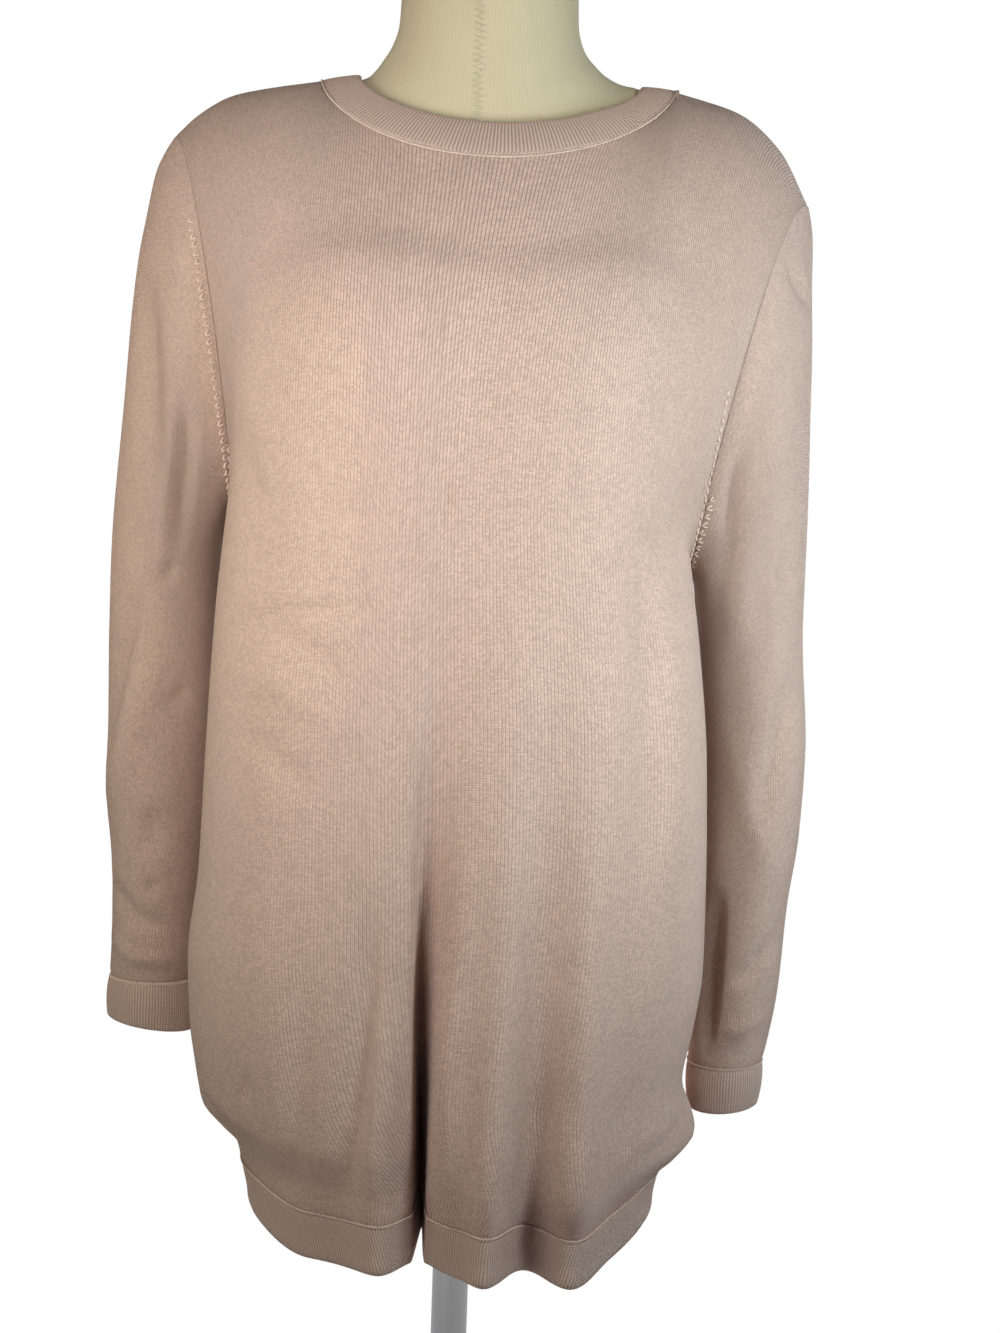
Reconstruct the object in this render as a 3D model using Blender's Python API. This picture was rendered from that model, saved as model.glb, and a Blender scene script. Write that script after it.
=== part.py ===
# Crewneck sweater on a limbless dress form, in metres.
# +Z is up and the front faces -Y. The origin is on the floor, under the stand's centre.
# The knit is built as real walls: front, back, two sleeves, neckband, two hem bands and two cuffs.
# Left and right in the tables are the viewer's, looking at the front; nodes use the wearer's sides.

import math
from collections import namedtuple

import bmesh
import bpy
from mathutils import Vector

# ---------------------------------------------------------------- driving dimensions
WALL = 0.0016              # thickness of the knit
SEAM_GAP = 0.0003          # clear gap where two pieces are sewn together
BAND_GAP = 0.0004          # the same along the neckline and the armholes, where seams turn
SLEEVE_GAP = 0.00042
HEM_BOTTOM = 0.609         # height of the hem's lower edge
HEM_SEAM = 0.6405          # height where the body joins its ribbed hem
UNDERARM_LEFT = 1.105      # height of the two underarm points
UNDERARM_RIGHT = 1.068
LEVEL_TILT_FROM = 0.90     # body levels are level below this height, and tilt towards the underarms

NECK_X = 0.0083            # the neckline sits slightly to the viewer's right
NECK_HALF_WIDTH = 0.1237
NECK_FRONT = -0.078        # how far forward and back the neckline seam reaches
NECK_BACK = 0.076
NECK_HEIGHT = 1.3955       # neckline seam at the shoulders, and its drop at front and back
NECK_DROP_FRONT = 0.0685
NECK_DROP_BACK = 0.0200
BAND_X = 0.0092            # inner edge of the neckband
BAND_HALF_WIDTH = 0.0988
BAND_FRONT = -0.0630
BAND_BACK = 0.0640
BAND_HEIGHT = 1.4000
BAND_DROP_FRONT = 0.0480
BAND_DROP_BACK = 0.0090
COLLAR_SQUARE = 0.8        # below 1 makes the loops round the neck squarer
COLLAR_DIP = 1.15

ARMHOLE_FRONT = 0.064      # how far each armhole bows forward and back of its ends
ARMHOLE_BACK = 0.075

SHOULDER_SPLIT = 0.56      # share of a panel's half width that ends at the neckline
SHOULDER_COLUMNS = 5
FRONT_NECK_COLUMNS = 28
BACK_NECK_COLUMNS = 14
ARMHOLE_ROWS = 9
YOKE_RISE = 0.34           # how strongly the yoke's columns leave the underarm level upwards
YOKE_REACH = 0.275         # and how strongly they cross the shoulder seam
YOKE_CLIMB = 0.07
YOKE_SPREAD = 1.1
BAND_LEAD = 7.0            # how far below the neckline the columns line up with the neckband
YOKE_EDGE = 0.62           # share of the half width where columns start to follow the armhole
FORM_REACH = 0.262         # the same for the dress form
FORM_CLIMB = 0.10
FORM_SPREAD = 0.6
BODY_ROW_HEIGHTS = (HEM_SEAM, 0.652, 0.663, 0.674, 0.685, 0.712, 0.745, 0.790,
                    0.850, 0.910, 0.970, 1.030, 1.0865)
HEM_ROW_HEIGHTS = (HEM_BOTTOM, 0.625, HEM_SEAM - SEAM_GAP)

FORM_FLOOR = 0.735         # height of the form's flat underside
NECK_TOP = 1.4850          # height where the form's neck is cut flat
CAP_HEIGHT = 0.012
POLE_RADIUS = 0.0125
BASE_RADIUS = 0.180
BASE_THICK = 0.007
SOCKET_RADIUS = 0.026
SOCKET_HEIGHT = 0.045

# ---------------------------------------------------------------- tables
# level sections of the body, from the hem up to the underarms; power is their squareness
Level = namedtuple("Level", "height left right front back power")
BODY_LEVELS = (
    Level(0.6090, -0.1400, 0.1365, -0.1430, 0.115, 2.00),
    Level(0.6405, -0.1480, 0.1435, -0.1480, 0.121, 2.00),
    Level(0.6560, -0.1525, 0.1590, -0.1510, 0.128, 2.05),
    Level(0.6680, -0.1640, 0.1665, -0.1535, 0.132, 2.10),
    Level(0.6850, -0.1752, 0.1632, -0.1560, 0.133, 2.20),
    Level(0.7120, -0.1795, 0.1560, -0.1570, 0.133, 2.30),
    Level(0.7450, -0.1842, 0.1615, -0.1570, 0.132, 2.40),
    Level(0.7900, -0.1862, 0.1675, -0.1560, 0.130, 2.50),
    Level(0.8500, -0.1800, 0.1680, -0.1550, 0.127, 2.55),
    Level(0.9300, -0.1775, 0.1662, -0.1520, 0.122, 2.55),
    Level(1.0100, -0.1748, 0.1595, -0.1485, 0.118, 2.55),
    Level(1.0865, -0.1690, 0.1500, -0.1450, 0.115, 2.55),
)

# the deep centre fold: where its valley runs, how far it goes in and how wide it is on each side
Valley = namedtuple("Valley", "height x depth left_width right_width")
CENTRE_FOLD = (
    Valley(0.609, -0.0195, 0.1000, 0.0062, 0.0088),
    Valley(0.660, -0.0192, 0.0900, 0.0066, 0.0094),
    Valley(0.710, -0.0196, 0.0720, 0.0074, 0.0112),
    Valley(0.760, -0.0205, 0.0500, 0.0085, 0.0160),
    Valley(0.820, -0.0220, 0.0330, 0.0110, 0.0240),
    Valley(0.880, -0.0245, 0.0180, 0.0150, 0.0280),
    Valley(0.960, -0.0240, 0.0070, 0.0190, 0.0280),
    Valley(1.060, -0.0215, 0.0000, 0.0200, 0.0240),
)

# how the hem swings up at the sides and down under its lobes
Lift = namedtuple("Lift", "x rise")
HEM_LIFT = (
    Lift(-0.1350, 0.0095),
    Lift(-0.1180, 0.0030),
    Lift(-0.1040, -0.0040),
    Lift(-0.0750, -0.0010),
    Lift(-0.0450, 0.0010),
    Lift(0.0350, 0.0000),
    Lift(0.0560, -0.0045),
    Lift(0.0820, -0.0065),
    Lift(0.1050, -0.0010),
    Lift(0.1300, 0.0085),
)
LIFT_FROM = 0.715          # the swing starts below this height
LIFT_OVER = 0.055

# soft ridges (positive) and troughs (negative) that fall from the bust to the hem
Fold = namedtuple("Fold", "x_hem x_top top_height reach width")
FRONT_FOLDS = (
    Fold(-0.0420, -0.0500, 0.860, 0.0140, 0.0170),
    Fold(0.0240, 0.0360, 1.080, 0.0240, 0.0145),
    Fold(0.0500, 0.0560, 1.080, -0.0190, 0.0135),
    Fold(0.0800, 0.0880, 1.080, 0.0240, 0.0170),
    Fold(-0.1020, -0.1050, 0.800, 0.0060, 0.0180),
)
BACK_FOLDS = (
    Fold(-0.0950, -0.0850, 1.020, 0.0120, 0.0200),
    Fold(-0.0350, -0.0300, 1.050, -0.0160, 0.0200),
    Fold(0.0250, 0.0250, 0.980, 0.0140, 0.0180),
    Fold(0.0850, 0.0750, 1.050, -0.0120, 0.0200),
)

# where the front's columns of points crowd together, to carry its folds
Crowd = namedtuple("Crowd", "share extra width")
FRONT_CROWDS = (
    Crowd(-0.08, 5.0, 0.070),
    Crowd(0.22, 1.3, 0.200),
)

# armholes: underarm point, shoulder point, and how the seam leaves and reaches them sideways
Armhole = namedtuple("Armhole", "under_x under_z tip_x tip_z start_pull end_pull")
ARMHOLES = {
    "left": Armhole(-0.1690, UNDERARM_LEFT, -0.2190, 1.3516, 0.040, -0.080),
    "right": Armhole(0.1500, UNDERARM_RIGHT, 0.2275, 1.3180, -0.008, 0.093),
}

# the shoulder seams, from the neckline out to the sleeve
Shoulder = namedtuple("Shoulder", "share x height")
SHOULDERS = {
    "left": (
        Shoulder(0.00, -0.1154, 1.3955),
        Shoulder(0.30, -0.1450, 1.3902),
        Shoulder(0.62, -0.1780, 1.3828),
        Shoulder(0.84, -0.2020, 1.3684),
        Shoulder(1.00, -0.2190, 1.3516),
    ),
    "right": (
        Shoulder(0.00, 0.1320, 1.3955),
        Shoulder(0.25, 0.1550, 1.3892),
        Shoulder(0.50, 0.1790, 1.3805),
        Shoulder(0.76, 0.2070, 1.3562),
        Shoulder(1.00, 0.2275, 1.3180),
    ),
}

# sleeve sections: the outer and the inner point of each, its middle and half depth front to back
Section = namedtuple("Section", "outer_x outer_z inner_x inner_z middle half_depth")
SLEEVES = {
    "left": (
        Section(-0.2190, 1.3516, -0.1690, 1.1050, 0.0055, 0.0695),
        Section(-0.2312, 1.3300, -0.1755, 1.0880, 0.0080, 0.0690),
        Section(-0.2380, 1.2920, -0.1795, 1.0680, 0.0120, 0.0670),
        Section(-0.2455, 1.2350, -0.1815, 1.0430, 0.0180, 0.0650),
        Section(-0.2520, 1.1500, -0.1830, 1.0080, 0.0250, 0.0630),
        Section(-0.2575, 1.0500, -0.1840, 0.9620, 0.0300, 0.0600),
        Section(-0.2595, 0.9650, -0.1845, 0.9120, 0.0340, 0.0570),
        Section(-0.2575, 0.9000, -0.1860, 0.8680, 0.0370, 0.0540),
        Section(-0.2525, 0.8400, -0.1885, 0.8250, 0.0400, 0.0490),
        Section(-0.2515, 0.7950, -0.1900, 0.7900, 0.0410, 0.0440),
        Section(-0.2525, 0.7620, -0.1905, 0.7600, 0.0420, 0.0395),
    ),
    "right": (
        Section(0.2275, 1.3180, 0.1500, 1.0680, 0.0055, 0.0695),
        Section(0.2308, 1.2980, 0.1560, 1.0530, 0.0080, 0.0690),
        Section(0.2328, 1.2600, 0.1590, 1.0330, 0.0120, 0.0670),
        Section(0.2352, 1.2050, 0.1620, 1.0050, 0.0180, 0.0650),
        Section(0.2358, 1.1300, 0.1660, 0.9720, 0.0240, 0.0630),
        Section(0.2357, 1.0300, 0.1710, 0.9250, 0.0280, 0.0600),
        Section(0.2400, 0.9400, 0.1745, 0.8800, 0.0310, 0.0570),
        Section(0.2388, 0.8800, 0.1755, 0.8380, 0.0330, 0.0540),
        Section(0.2325, 0.8250, 0.1740, 0.7950, 0.0340, 0.0490),
        Section(0.2262, 0.7650, 0.1710, 0.7500, 0.0340, 0.0440),
        Section(0.2180, 0.7160, 0.1650, 0.7130, 0.0340, 0.0390),
    ),
}
CUFFS = {
    "left": Section(-0.2535, 0.7330, -0.1905, 0.7235, 0.0420, 0.0370),
    "right": Section(0.2155, 0.6860, 0.1660, 0.6800, 0.0340, 0.0360),
}
SLEEVE_RINGS = 17
SLEEVE_RING_SPREAD = 1.2   # rings sit closer together near the armhole
SLEEVE_HEAD = 3.0          # number of sections over which a sleeve leaves the armhole's shape
SLEEVE_CLEAR = 0.0030      # least room between a sleeve and the body beside it
SLEEVE_CLEAR_FROM = 1.5    # number of sections over which that room opens

# level sections of the dress form below the underarms; power is their squareness
Ring = namedtuple("Ring", "height half_width front back power")
TORSO_RINGS = (
    Ring(0.7350, 0.1440, -0.0950, 0.1020, 2.2),
    Ring(0.7480, 0.1490, -0.0990, 0.1060, 2.2),
    Ring(0.8200, 0.1520, -0.1020, 0.1120, 2.2),
    Ring(0.9100, 0.1380, -0.0960, 0.1000, 2.2),
    Ring(1.0100, 0.1140, -0.0850, 0.0760, 2.2),
    Ring(1.0865, 0.1230, -0.1000, 0.0800, 2.2),
)
# loops up the neck: height at the sides, reach, drop towards the front and back, and squareness
Loop = namedtuple("Loop", "height half_width front back drop_front drop_back square")
NECK_LOOPS = (
    Loop(1.4030, 0.0835, -0.0568, 0.0596, 0.0450, 0.0130, 0.84),
    Loop(1.4100, 0.0760, -0.0554, 0.0590, 0.0405, 0.0110, 0.88),
    Loop(1.4220, 0.0671, -0.0546, 0.0580, 0.0330, 0.0080, 0.92),
    Loop(1.4380, 0.0627, -0.0543, 0.0575, 0.0220, 0.0050, 0.96),
    Loop(1.4620, 0.0618, -0.0545, 0.0572, 0.0080, 0.0020, 1.00),
    Loop(1.4850, 0.0615, -0.0550, 0.0570, 0.0000, 0.0000, 1.00),
)
# the form's shoulder line, from the base of the neck out to the rounded arm end
Ridge = namedtuple("Ridge", "share x height")
FORM_SHOULDER = (
    Ridge(0.00, 0.0850, 1.3965),
    Ridge(0.30, 0.1154, 1.3934),
    Ridge(0.60, 0.1500, 1.3866),
    Ridge(0.84, 0.1770, 1.3765),
    Ridge(0.95, 0.1870, 1.3650),
    Ridge(1.00, 0.1900, 1.3500),
)
NECK_BASE_WIDTH = 0.0850   # half width of the neck where it meets the shoulders
NECK_BASE_FRONT = -0.0590
NECK_BASE_BACK = 0.0600
NECK_BASE_HEIGHT = 1.3965
NECK_BASE_DROP_FRONT = 0.0470
NECK_BASE_DROP_BACK = 0.0140
FORM_YOKE_ROWS = 10
FORM_NECK_COLUMNS = 14
BUST_X = 0.088
BUST_HEIGHT = 1.195
BUST_EASE = 0.006          # how far the knit swells over each side of the bust, its width and height
EASE_WIDTH = 0.050
EASE_TALL = 0.055
BUST_REACH = 0.0120        # how far the form's bust stands out, its width and its height
BUST_WIDTH = 0.042
BUST_TALL = 0.048

# linear colours
KNIT_COLOUR = (0.565, 0.370, 0.300)
RIB_COLOUR = (0.530, 0.345, 0.280)
JERSEY_COLOUR = (0.700, 0.590, 0.400)
CAP_COLOUR = (0.480, 0.400, 0.280)
STEEL_COLOUR = (0.420, 0.420, 0.430)


# ---------------------------------------------------------------- small maths
def ease(value):
    value = min(max(value, 0.0), 1.0)
    return value * value * (3.0 - 2.0 * value)


def bell(distance, width):
    return math.exp(-(distance / width) ** 2)


def between(rows, place, key, field):
    """Smooth, overshoot-free value of one column of a table at a place along another, or by row."""
    keys = [getattr(row, key) for row in rows] if key else list(range(len(rows)))
    values = [getattr(row, field) for row in rows]
    if place <= keys[0]:
        return values[0]
    if place >= keys[-1]:
        return values[-1]
    slopes = [(values[i + 1] - values[i]) / (keys[i + 1] - keys[i]) for i in range(len(keys) - 1)]
    tangents = [slopes[0]]
    for before, after in zip(slopes, slopes[1:]):
        tangents.append(0.0 if before * after <= 0.0 else 2.0 * before * after / (before + after))
    tangents.append(slopes[-1])
    i = max(index for index, value in enumerate(keys) if value <= place)
    step = keys[i + 1] - keys[i]
    t = (place - keys[i]) / step
    return hermite(values[i], values[i + 1], tangents[i] * step, tangents[i + 1] * step, t)


def hermite(start, end, leave, arrive, t):
    rise = t * t * (3.0 - 2.0 * t)
    return (start * (1.0 - rise) + end * rise
            + leave * (t * (1.0 - t) ** 2) - arrive * (t * t * (1.0 - t)))


def rounded(share, power):
    """Depth of a rounded section at a share of its half width, from 1 at the middle to 0."""
    return max(0.0, 1.0 - abs(share) ** power) ** (1.0 / power)


# ---------------------------------------------------------------- the body's surface
def fold_relief(folds, x, height):
    """How far the ridges and troughs stand out at a place on the body."""
    total = 0.0
    for fold in folds:
        run = (fold.top_height - height) / (fold.top_height - HEM_BOTTOM)
        if run <= 0.0:
            continue
        middle = fold.x_top + (fold.x_hem - fold.x_top) * min(run, 1.0)
        total += fold.reach * min(run, 1.0) ** 1.8 * bell(x - middle, fold.width)
    return total


def centre_valley(x, height):
    """How far the centre fold goes in at a place on the front."""
    middle = between(CENTRE_FOLD, height, "height", "x")
    depth = between(CENTRE_FOLD, height, "height", "depth")
    side = "left_width" if x < middle else "right_width"
    off = abs(x - middle) / (2.0 * between(CENTRE_FOLD, height, "height", side))
    if off >= 1.0:
        return 0.0
    return depth * (0.5 + 0.5 * math.cos(math.pi * off))


def level_height(share, x, height):
    """Height of a level section; levels tilt towards the underarms and swing with the hem."""
    tilt = ease((height - LEVEL_TILT_FROM) / (BODY_LEVELS[-1].height - LEVEL_TILT_FROM))
    swing = ease((LIFT_FROM - height) / LIFT_OVER) * between(HEM_LIFT, x, "x", "rise")
    return height + swing - tilt * share * (UNDERARM_LEFT - UNDERARM_RIGHT) / 2.0


def body_point(share, height, facing):
    """Point of the body below the underarms. share runs -1 to 1; facing is -1 front, 1 back."""
    left = between(BODY_LEVELS, height, "height", "left")
    right = between(BODY_LEVELS, height, "height", "right")
    depth = between(BODY_LEVELS, height, "height", "front" if facing < 0 else "back")
    across = math.sin(share * math.pi / 2.0)
    x = (left + right) / 2.0 + (right - left) / 2.0 * across
    inward = rounded(across, between(BODY_LEVELS, height, "height", "power"))
    y = depth * inward
    sway = ease(1.6 * inward)
    if facing < 0:
        y += sway * (centre_valley(x, height) - fold_relief(FRONT_FOLDS, x, height))
    else:
        y += sway * fold_relief(BACK_FOLDS, x, height)
    return Vector((x, y, level_height(share, x, height)))


def collar_loop(share, middle, half_width, reach, height, drop, square=COLLAR_SQUARE):
    """Half of a loop round the neck: level at its ends, dropping towards its middle."""
    angle = share * math.pi / 2.0
    along = max(math.cos(angle), 0.0)
    return Vector((middle + half_width * math.sin(angle),
                   reach * along ** square,
                   height - drop * along ** COLLAR_DIP))


def neckline(share, facing):
    """Neckline seam; share runs -1 to 1 from one shoulder to the other."""
    reach, drop = (NECK_FRONT, NECK_DROP_FRONT) if facing < 0 else (NECK_BACK, NECK_DROP_BACK)
    return collar_loop(share, NECK_X, NECK_HALF_WIDTH, reach, NECK_HEIGHT, drop)


def band_edge(share, facing):
    """Inner edge of the neckband, beside the neck."""
    reach, drop = (BAND_FRONT, BAND_DROP_FRONT) if facing < 0 else (BAND_BACK, BAND_DROP_BACK)
    return collar_loop(share, BAND_X, BAND_HALF_WIDTH, reach, BAND_HEIGHT, drop)


def top_point(share, facing):
    """Upper edge of a body panel: shoulder seam, neckline, shoulder seam."""
    if abs(share) <= SHOULDER_SPLIT:
        return neckline(share / SHOULDER_SPLIT, facing)
    rows = SHOULDERS["left" if share < 0 else "right"]
    along = (abs(share) - SHOULDER_SPLIT) / (1.0 - SHOULDER_SPLIT)
    return Vector((between(rows, along, "share", "x"), 0.0, between(rows, along, "share", "height")))


def yoke_point(share, t, facing):
    """Point of the body above the underarms; t runs 0 to 1 from their level to the upper edge."""
    hole = ARMHOLES["left" if share < 0 else "right"]
    bow = 4.0 * (-ARMHOLE_FRONT if facing < 0 else ARMHOLE_BACK)
    edge = ease((abs(share) - YOKE_EDGE) / (1.0 - YOKE_EDGE))
    low = body_point(share, BODY_LEVELS[-1].height, facing)
    high = top_point(share, facing)
    leave = Vector((0.0, 0.0, YOKE_RISE)).lerp(Vector((hole.start_pull, bow, 0.0)), edge)
    over_shoulder = Vector((YOKE_SPREAD * (high.x - low.x), -facing * YOKE_REACH, YOKE_CLIMB))
    arrive = towards_neck(share, facing, band_edge, over_shoulder)
    arrive = arrive.lerp(Vector((hole.end_pull, -bow, 0.0)), edge)
    point = Vector([hermite(low[i], high[i], leave[i], arrive[i], t) for i in range(3)])
    if facing < 0:
        for bust_x in (-BUST_X, BUST_X):
            point.y -= BUST_EASE * bell(point.x - bust_x, EASE_WIDTH) * bell(point.z - BUST_HEIGHT, EASE_TALL)
    return point


def towards_neck(share, facing, inner_edge, over_shoulder):
    """Direction in which a column reaches the neckline, turning to run over the shoulder beside it."""
    ratio = min(abs(share) / SHOULDER_SPLIT, 1.0)
    if ratio == 1.0:
        return over_shoulder
    place = share / SHOULDER_SPLIT
    up_the_band = (inner_edge(place, facing) - neckline(place, facing)) * BAND_LEAD
    up_the_band.x = over_shoulder.x
    return up_the_band.lerp(over_shoulder, ratio ** 4)


# ---------------------------------------------------------------- grids of points
def gathered_shares(count, crowds):
    """Shares from one end of the neckline to the other, closer together at each crowd."""
    steps = 400
    total = [0.0]
    for i in range(steps):
        share = SHOULDER_SPLIT * (2.0 * (i + 0.5) / steps - 1.0)
        extra = sum(crowd.extra * bell(share - crowd.share, crowd.width) for crowd in crowds)
        total.append(total[-1] + 1.0 + extra)
    shares = []
    i = 0
    for column in range(count + 1):
        goal = total[-1] * column / count
        while i < steps - 1 and total[i + 1] < goal:
            i += 1
        part = (goal - total[i]) / (total[i + 1] - total[i])
        shares.append(SHOULDER_SPLIT * (2.0 * (i + part) / steps - 1.0))
    return shares


def panel_shares(neck_shares):
    steps = [1.0 + (SHOULDER_SPLIT - 1.0) * i / SHOULDER_COLUMNS for i in range(SHOULDER_COLUMNS)]
    return [-step for step in steps] + neck_shares + steps[::-1]


def panel_grid(shares, facing):
    """Rows of a body panel from the hem seam to the shoulders, moved clear of the other panel."""
    rows = [[body_point(share, height, facing) for share in shares] for height in BODY_ROW_HEIGHTS]
    for step in range(1, ARMHOLE_ROWS + 1):
        rows.append([yoke_point(share, step / ARMHOLE_ROWS, facing) for share in shares])
    return shifted(rows, facing)


def hem_grid(shares, facing):
    rows = [[body_point(share, height, facing) for share in shares] for height in HEM_ROW_HEIGHTS]
    return shifted(rows, facing)


def shifted(rows, facing):
    apart = Vector((0.0, facing * SEAM_GAP / 2.0, 0.0))
    return [[point + apart for point in row] for row in rows]


def grid_normals(rows, closed, outward):
    """Unit normals of a grid of points; outward is 1 or -1, the side that is out."""
    height, width = len(rows), len(rows[0])
    normals = []
    for j in range(height):
        line = []
        for i in range(width):
            here = rows[j][i]
            before = rows[j][i - 1] if closed or i > 0 else here
            after = rows[j][(i + 1) % width] if closed or i < width - 1 else here
            across = (here - before).normalized() + (after - here).normalized()
            up = (here - rows[max(j - 1, 0)][i]).normalized()
            up += (rows[min(j + 1, height - 1)][i] - here).normalized()
            line.append(across.cross(up).normalized() * outward)
        normals.append(line)
    return normals


def flattened(normal, axis):
    """A normal with one component taken out, so that the rim there is square to the seam."""
    flat = normal.copy()
    flat[axis] = 0.0
    return flat.normalized()


def match_normals(front, back):
    """Gives the two panels the same normals along their side and shoulder seams."""
    shoulder = list(range(SHOULDER_COLUMNS + 1))
    seams = [(j, i) for j in range(len(front)) for i in (0, -1)]
    seams += [(-1, i) for i in shoulder + [-1 - i for i in shoulder]]
    for j, i in seams:
        shared = flattened(front[j][i] + back[j][i], 1)
        front[j][i] = shared
        back[j][i] = shared
    for normals in (front, back):
        normals[0] = [flattened(normal, 2) for normal in normals[0]]


# ---------------------------------------------------------------- meshes
def add_object(name, mesh, material):
    thing = bpy.data.objects.new(name, mesh)
    thing.data.materials.append(material)
    bpy.context.scene.collection.objects.link(thing)
    return thing


def wall(name, rows, normals, closed, material):
    """A knitted wall: the grid is its outer face, and its inner face is one thickness behind.
    Both faces are split along the same diagonals, so that the wall keeps its thickness."""
    height, width = len(rows), len(rows[0])
    points = [point for row in rows for point in row]
    points += [point - normal * WALL for row, line in zip(rows, normals) for point, normal in zip(row, line)]
    inner = height * width
    faces = []
    for j in range(height - 1):
        for i in range(width if closed else width - 1):
            a, b = j * width + i, j * width + (i + 1) % width
            c, d = b + width, a + width
            if (points[a] - points[c]).length <= (points[b] - points[d]).length:
                halves = ((a, b, c), (a, c, d))
            else:
                halves = ((a, b, d), (b, c, d))
            for half in halves:
                faces.append(half)
                faces.append(tuple(inner + corner for corner in reversed(half)))
    for j in (0, height - 1):
        for i in range(width if closed else width - 1):
            a, b = j * width + i, j * width + (i + 1) % width
            faces.append((inner + a, inner + b, b, a) if j == 0 else (a, b, inner + b, inner + a))
    if not closed:
        for j in range(height - 1):
            a, b = j * width, (j + 1) * width
            faces.append((a, b, inner + b, inner + a))
            a, b = a + width - 1, b + width - 1
            faces.append((inner + a, inner + b, b, a))
    mesh = bpy.data.meshes.new(name)
    mesh.from_pydata(points, [], faces)
    outward = bmesh.new()
    outward.from_mesh(mesh)
    bmesh.ops.recalc_face_normals(outward, faces=outward.faces)
    outward.to_mesh(mesh)
    outward.free()
    mesh.shade_smooth()
    mesh.set_sharp_from_angle(angle=math.radians(50.0))
    return add_object(name, mesh, material)


def stacked_rings(name, rings, material):
    """A closed solid through level rings of points, flat at both ends."""
    width = len(rings[0])
    points = [point for ring in rings for point in ring]
    faces = [tuple(range(width))[::-1], tuple(range(len(points) - width, len(points)))]
    for j in range(len(rings) - 1):
        for i in range(width):
            a, b = j * width + i, j * width + (i + 1) % width
            faces.append((a, b, b + width, a + width))
    mesh = bpy.data.meshes.new(name)
    mesh.from_pydata(points, [], faces)
    mesh.shade_smooth()
    mesh.set_sharp_from_angle(angle=math.radians(50.0))
    return add_object(name, mesh, material)


def turned(name, profile, material, steps=48):
    """A solid turned about the vertical axis from (radius, height) pairs, bottom to top."""
    shape = bmesh.new()
    verts = [shape.verts.new((radius, 0.0, height)) for radius, height in profile]
    edges = [shape.edges.new(pair) for pair in zip(verts, verts[1:])]
    bmesh.ops.spin(shape, geom=verts + edges, cent=(0.0, 0.0, 0.0), axis=(0.0, 0.0, 1.0),
                   angle=2.0 * math.pi, steps=steps, use_merge=True)
    bmesh.ops.remove_doubles(shape, verts=shape.verts, dist=1e-6)
    bmesh.ops.holes_fill(shape, edges=shape.edges, sides=0)
    bmesh.ops.recalc_face_normals(shape, faces=shape.faces)
    mesh = bpy.data.meshes.new(name)
    shape.to_mesh(mesh)
    shape.free()
    mesh.shade_smooth()
    mesh.set_sharp_from_angle(angle=math.radians(40.0))
    return add_object(name, mesh, material)


def finish(name, colour, roughness, metallic=0.0):
    material = bpy.data.materials.new(name)
    material.use_nodes = True
    shader = material.node_tree.nodes["Principled BSDF"]
    shader.inputs["Base Color"].default_value = (*colour, 1.0)
    shader.inputs["Roughness"].default_value = roughness
    shader.inputs["Metallic"].default_value = metallic
    return material


# ---------------------------------------------------------------- sleeves
def section_at(rows, place):
    return Section(*[between(rows, place, None, field) for field in Section._fields])


def section_point(section, t, facing):
    """Point of a sleeve section; t runs 0 at its inner point to 1 at its outer point."""
    rise = t * t * (3.0 - 2.0 * t)
    bow = 2.0 * math.sqrt(max(rise * (1.0 - rise), 0.0))
    return Vector((section.inner_x + (section.outer_x - section.inner_x) * rise,
                   section.middle + facing * section.half_depth * bow,
                   section.inner_z + (section.outer_z - section.inner_z) * rise))


def clear_of_body(point, side, clear):
    """Keeps a sleeve point beside the body's level section at its height."""
    height = min(max(point.z, HEM_SEAM), BODY_LEVELS[-1].height)
    left = between(BODY_LEVELS, height, "height", "left")
    right = between(BODY_LEVELS, height, "height", "right")
    depth = between(BODY_LEVELS, height, "height", "front" if point.y < 0 else "back")
    power = between(BODY_LEVELS, height, "height", "power")
    reach = (right - left) / 2.0 * rounded(min(abs(point.y / depth), 1.0), power)
    middle = (left + right) / 2.0
    if side == "left":
        return Vector((min(point.x, middle - reach - clear), point.y, point.z))
    return Vector((max(point.x, middle + reach + clear), point.y, point.z))


def sleeve_places():
    """(t, facing) of the points round a sleeve, in step with the rows of the armhole."""
    front = [(row / ARMHOLE_ROWS, -1) for row in range(ARMHOLE_ROWS + 1)]
    back = [(row / ARMHOLE_ROWS, 1) for row in range(ARMHOLE_ROWS - 1, 0, -1)]
    return front + back


def armhole_seam(panels, side, column):
    """Points, normals and outward directions of the two panels' edges round one armhole."""
    first = len(BODY_ROW_HEIGHTS) - 1
    sideways = Vector((-1.0 if side == "left" else 1.0, 0.0, 0.0))
    beside = column + 1 if column == 0 else column - 1
    points, normals, directions = [], [], []
    for t, facing in sleeve_places():
        rows, lines = panels[facing]
        row = first + round(t * ARMHOLE_ROWS)
        point = rows[row][column].copy()
        along = (point - rows[row][beside]).normalized()
        if t in (0.0, 1.0):
            point.y = 0.0
        points.append(point)
        normals.append(lines[row][column])
        directions.append(sideways.lerp(along, ease((t - 0.1) / 0.3)).normalized())
    return points, normals, directions


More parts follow.
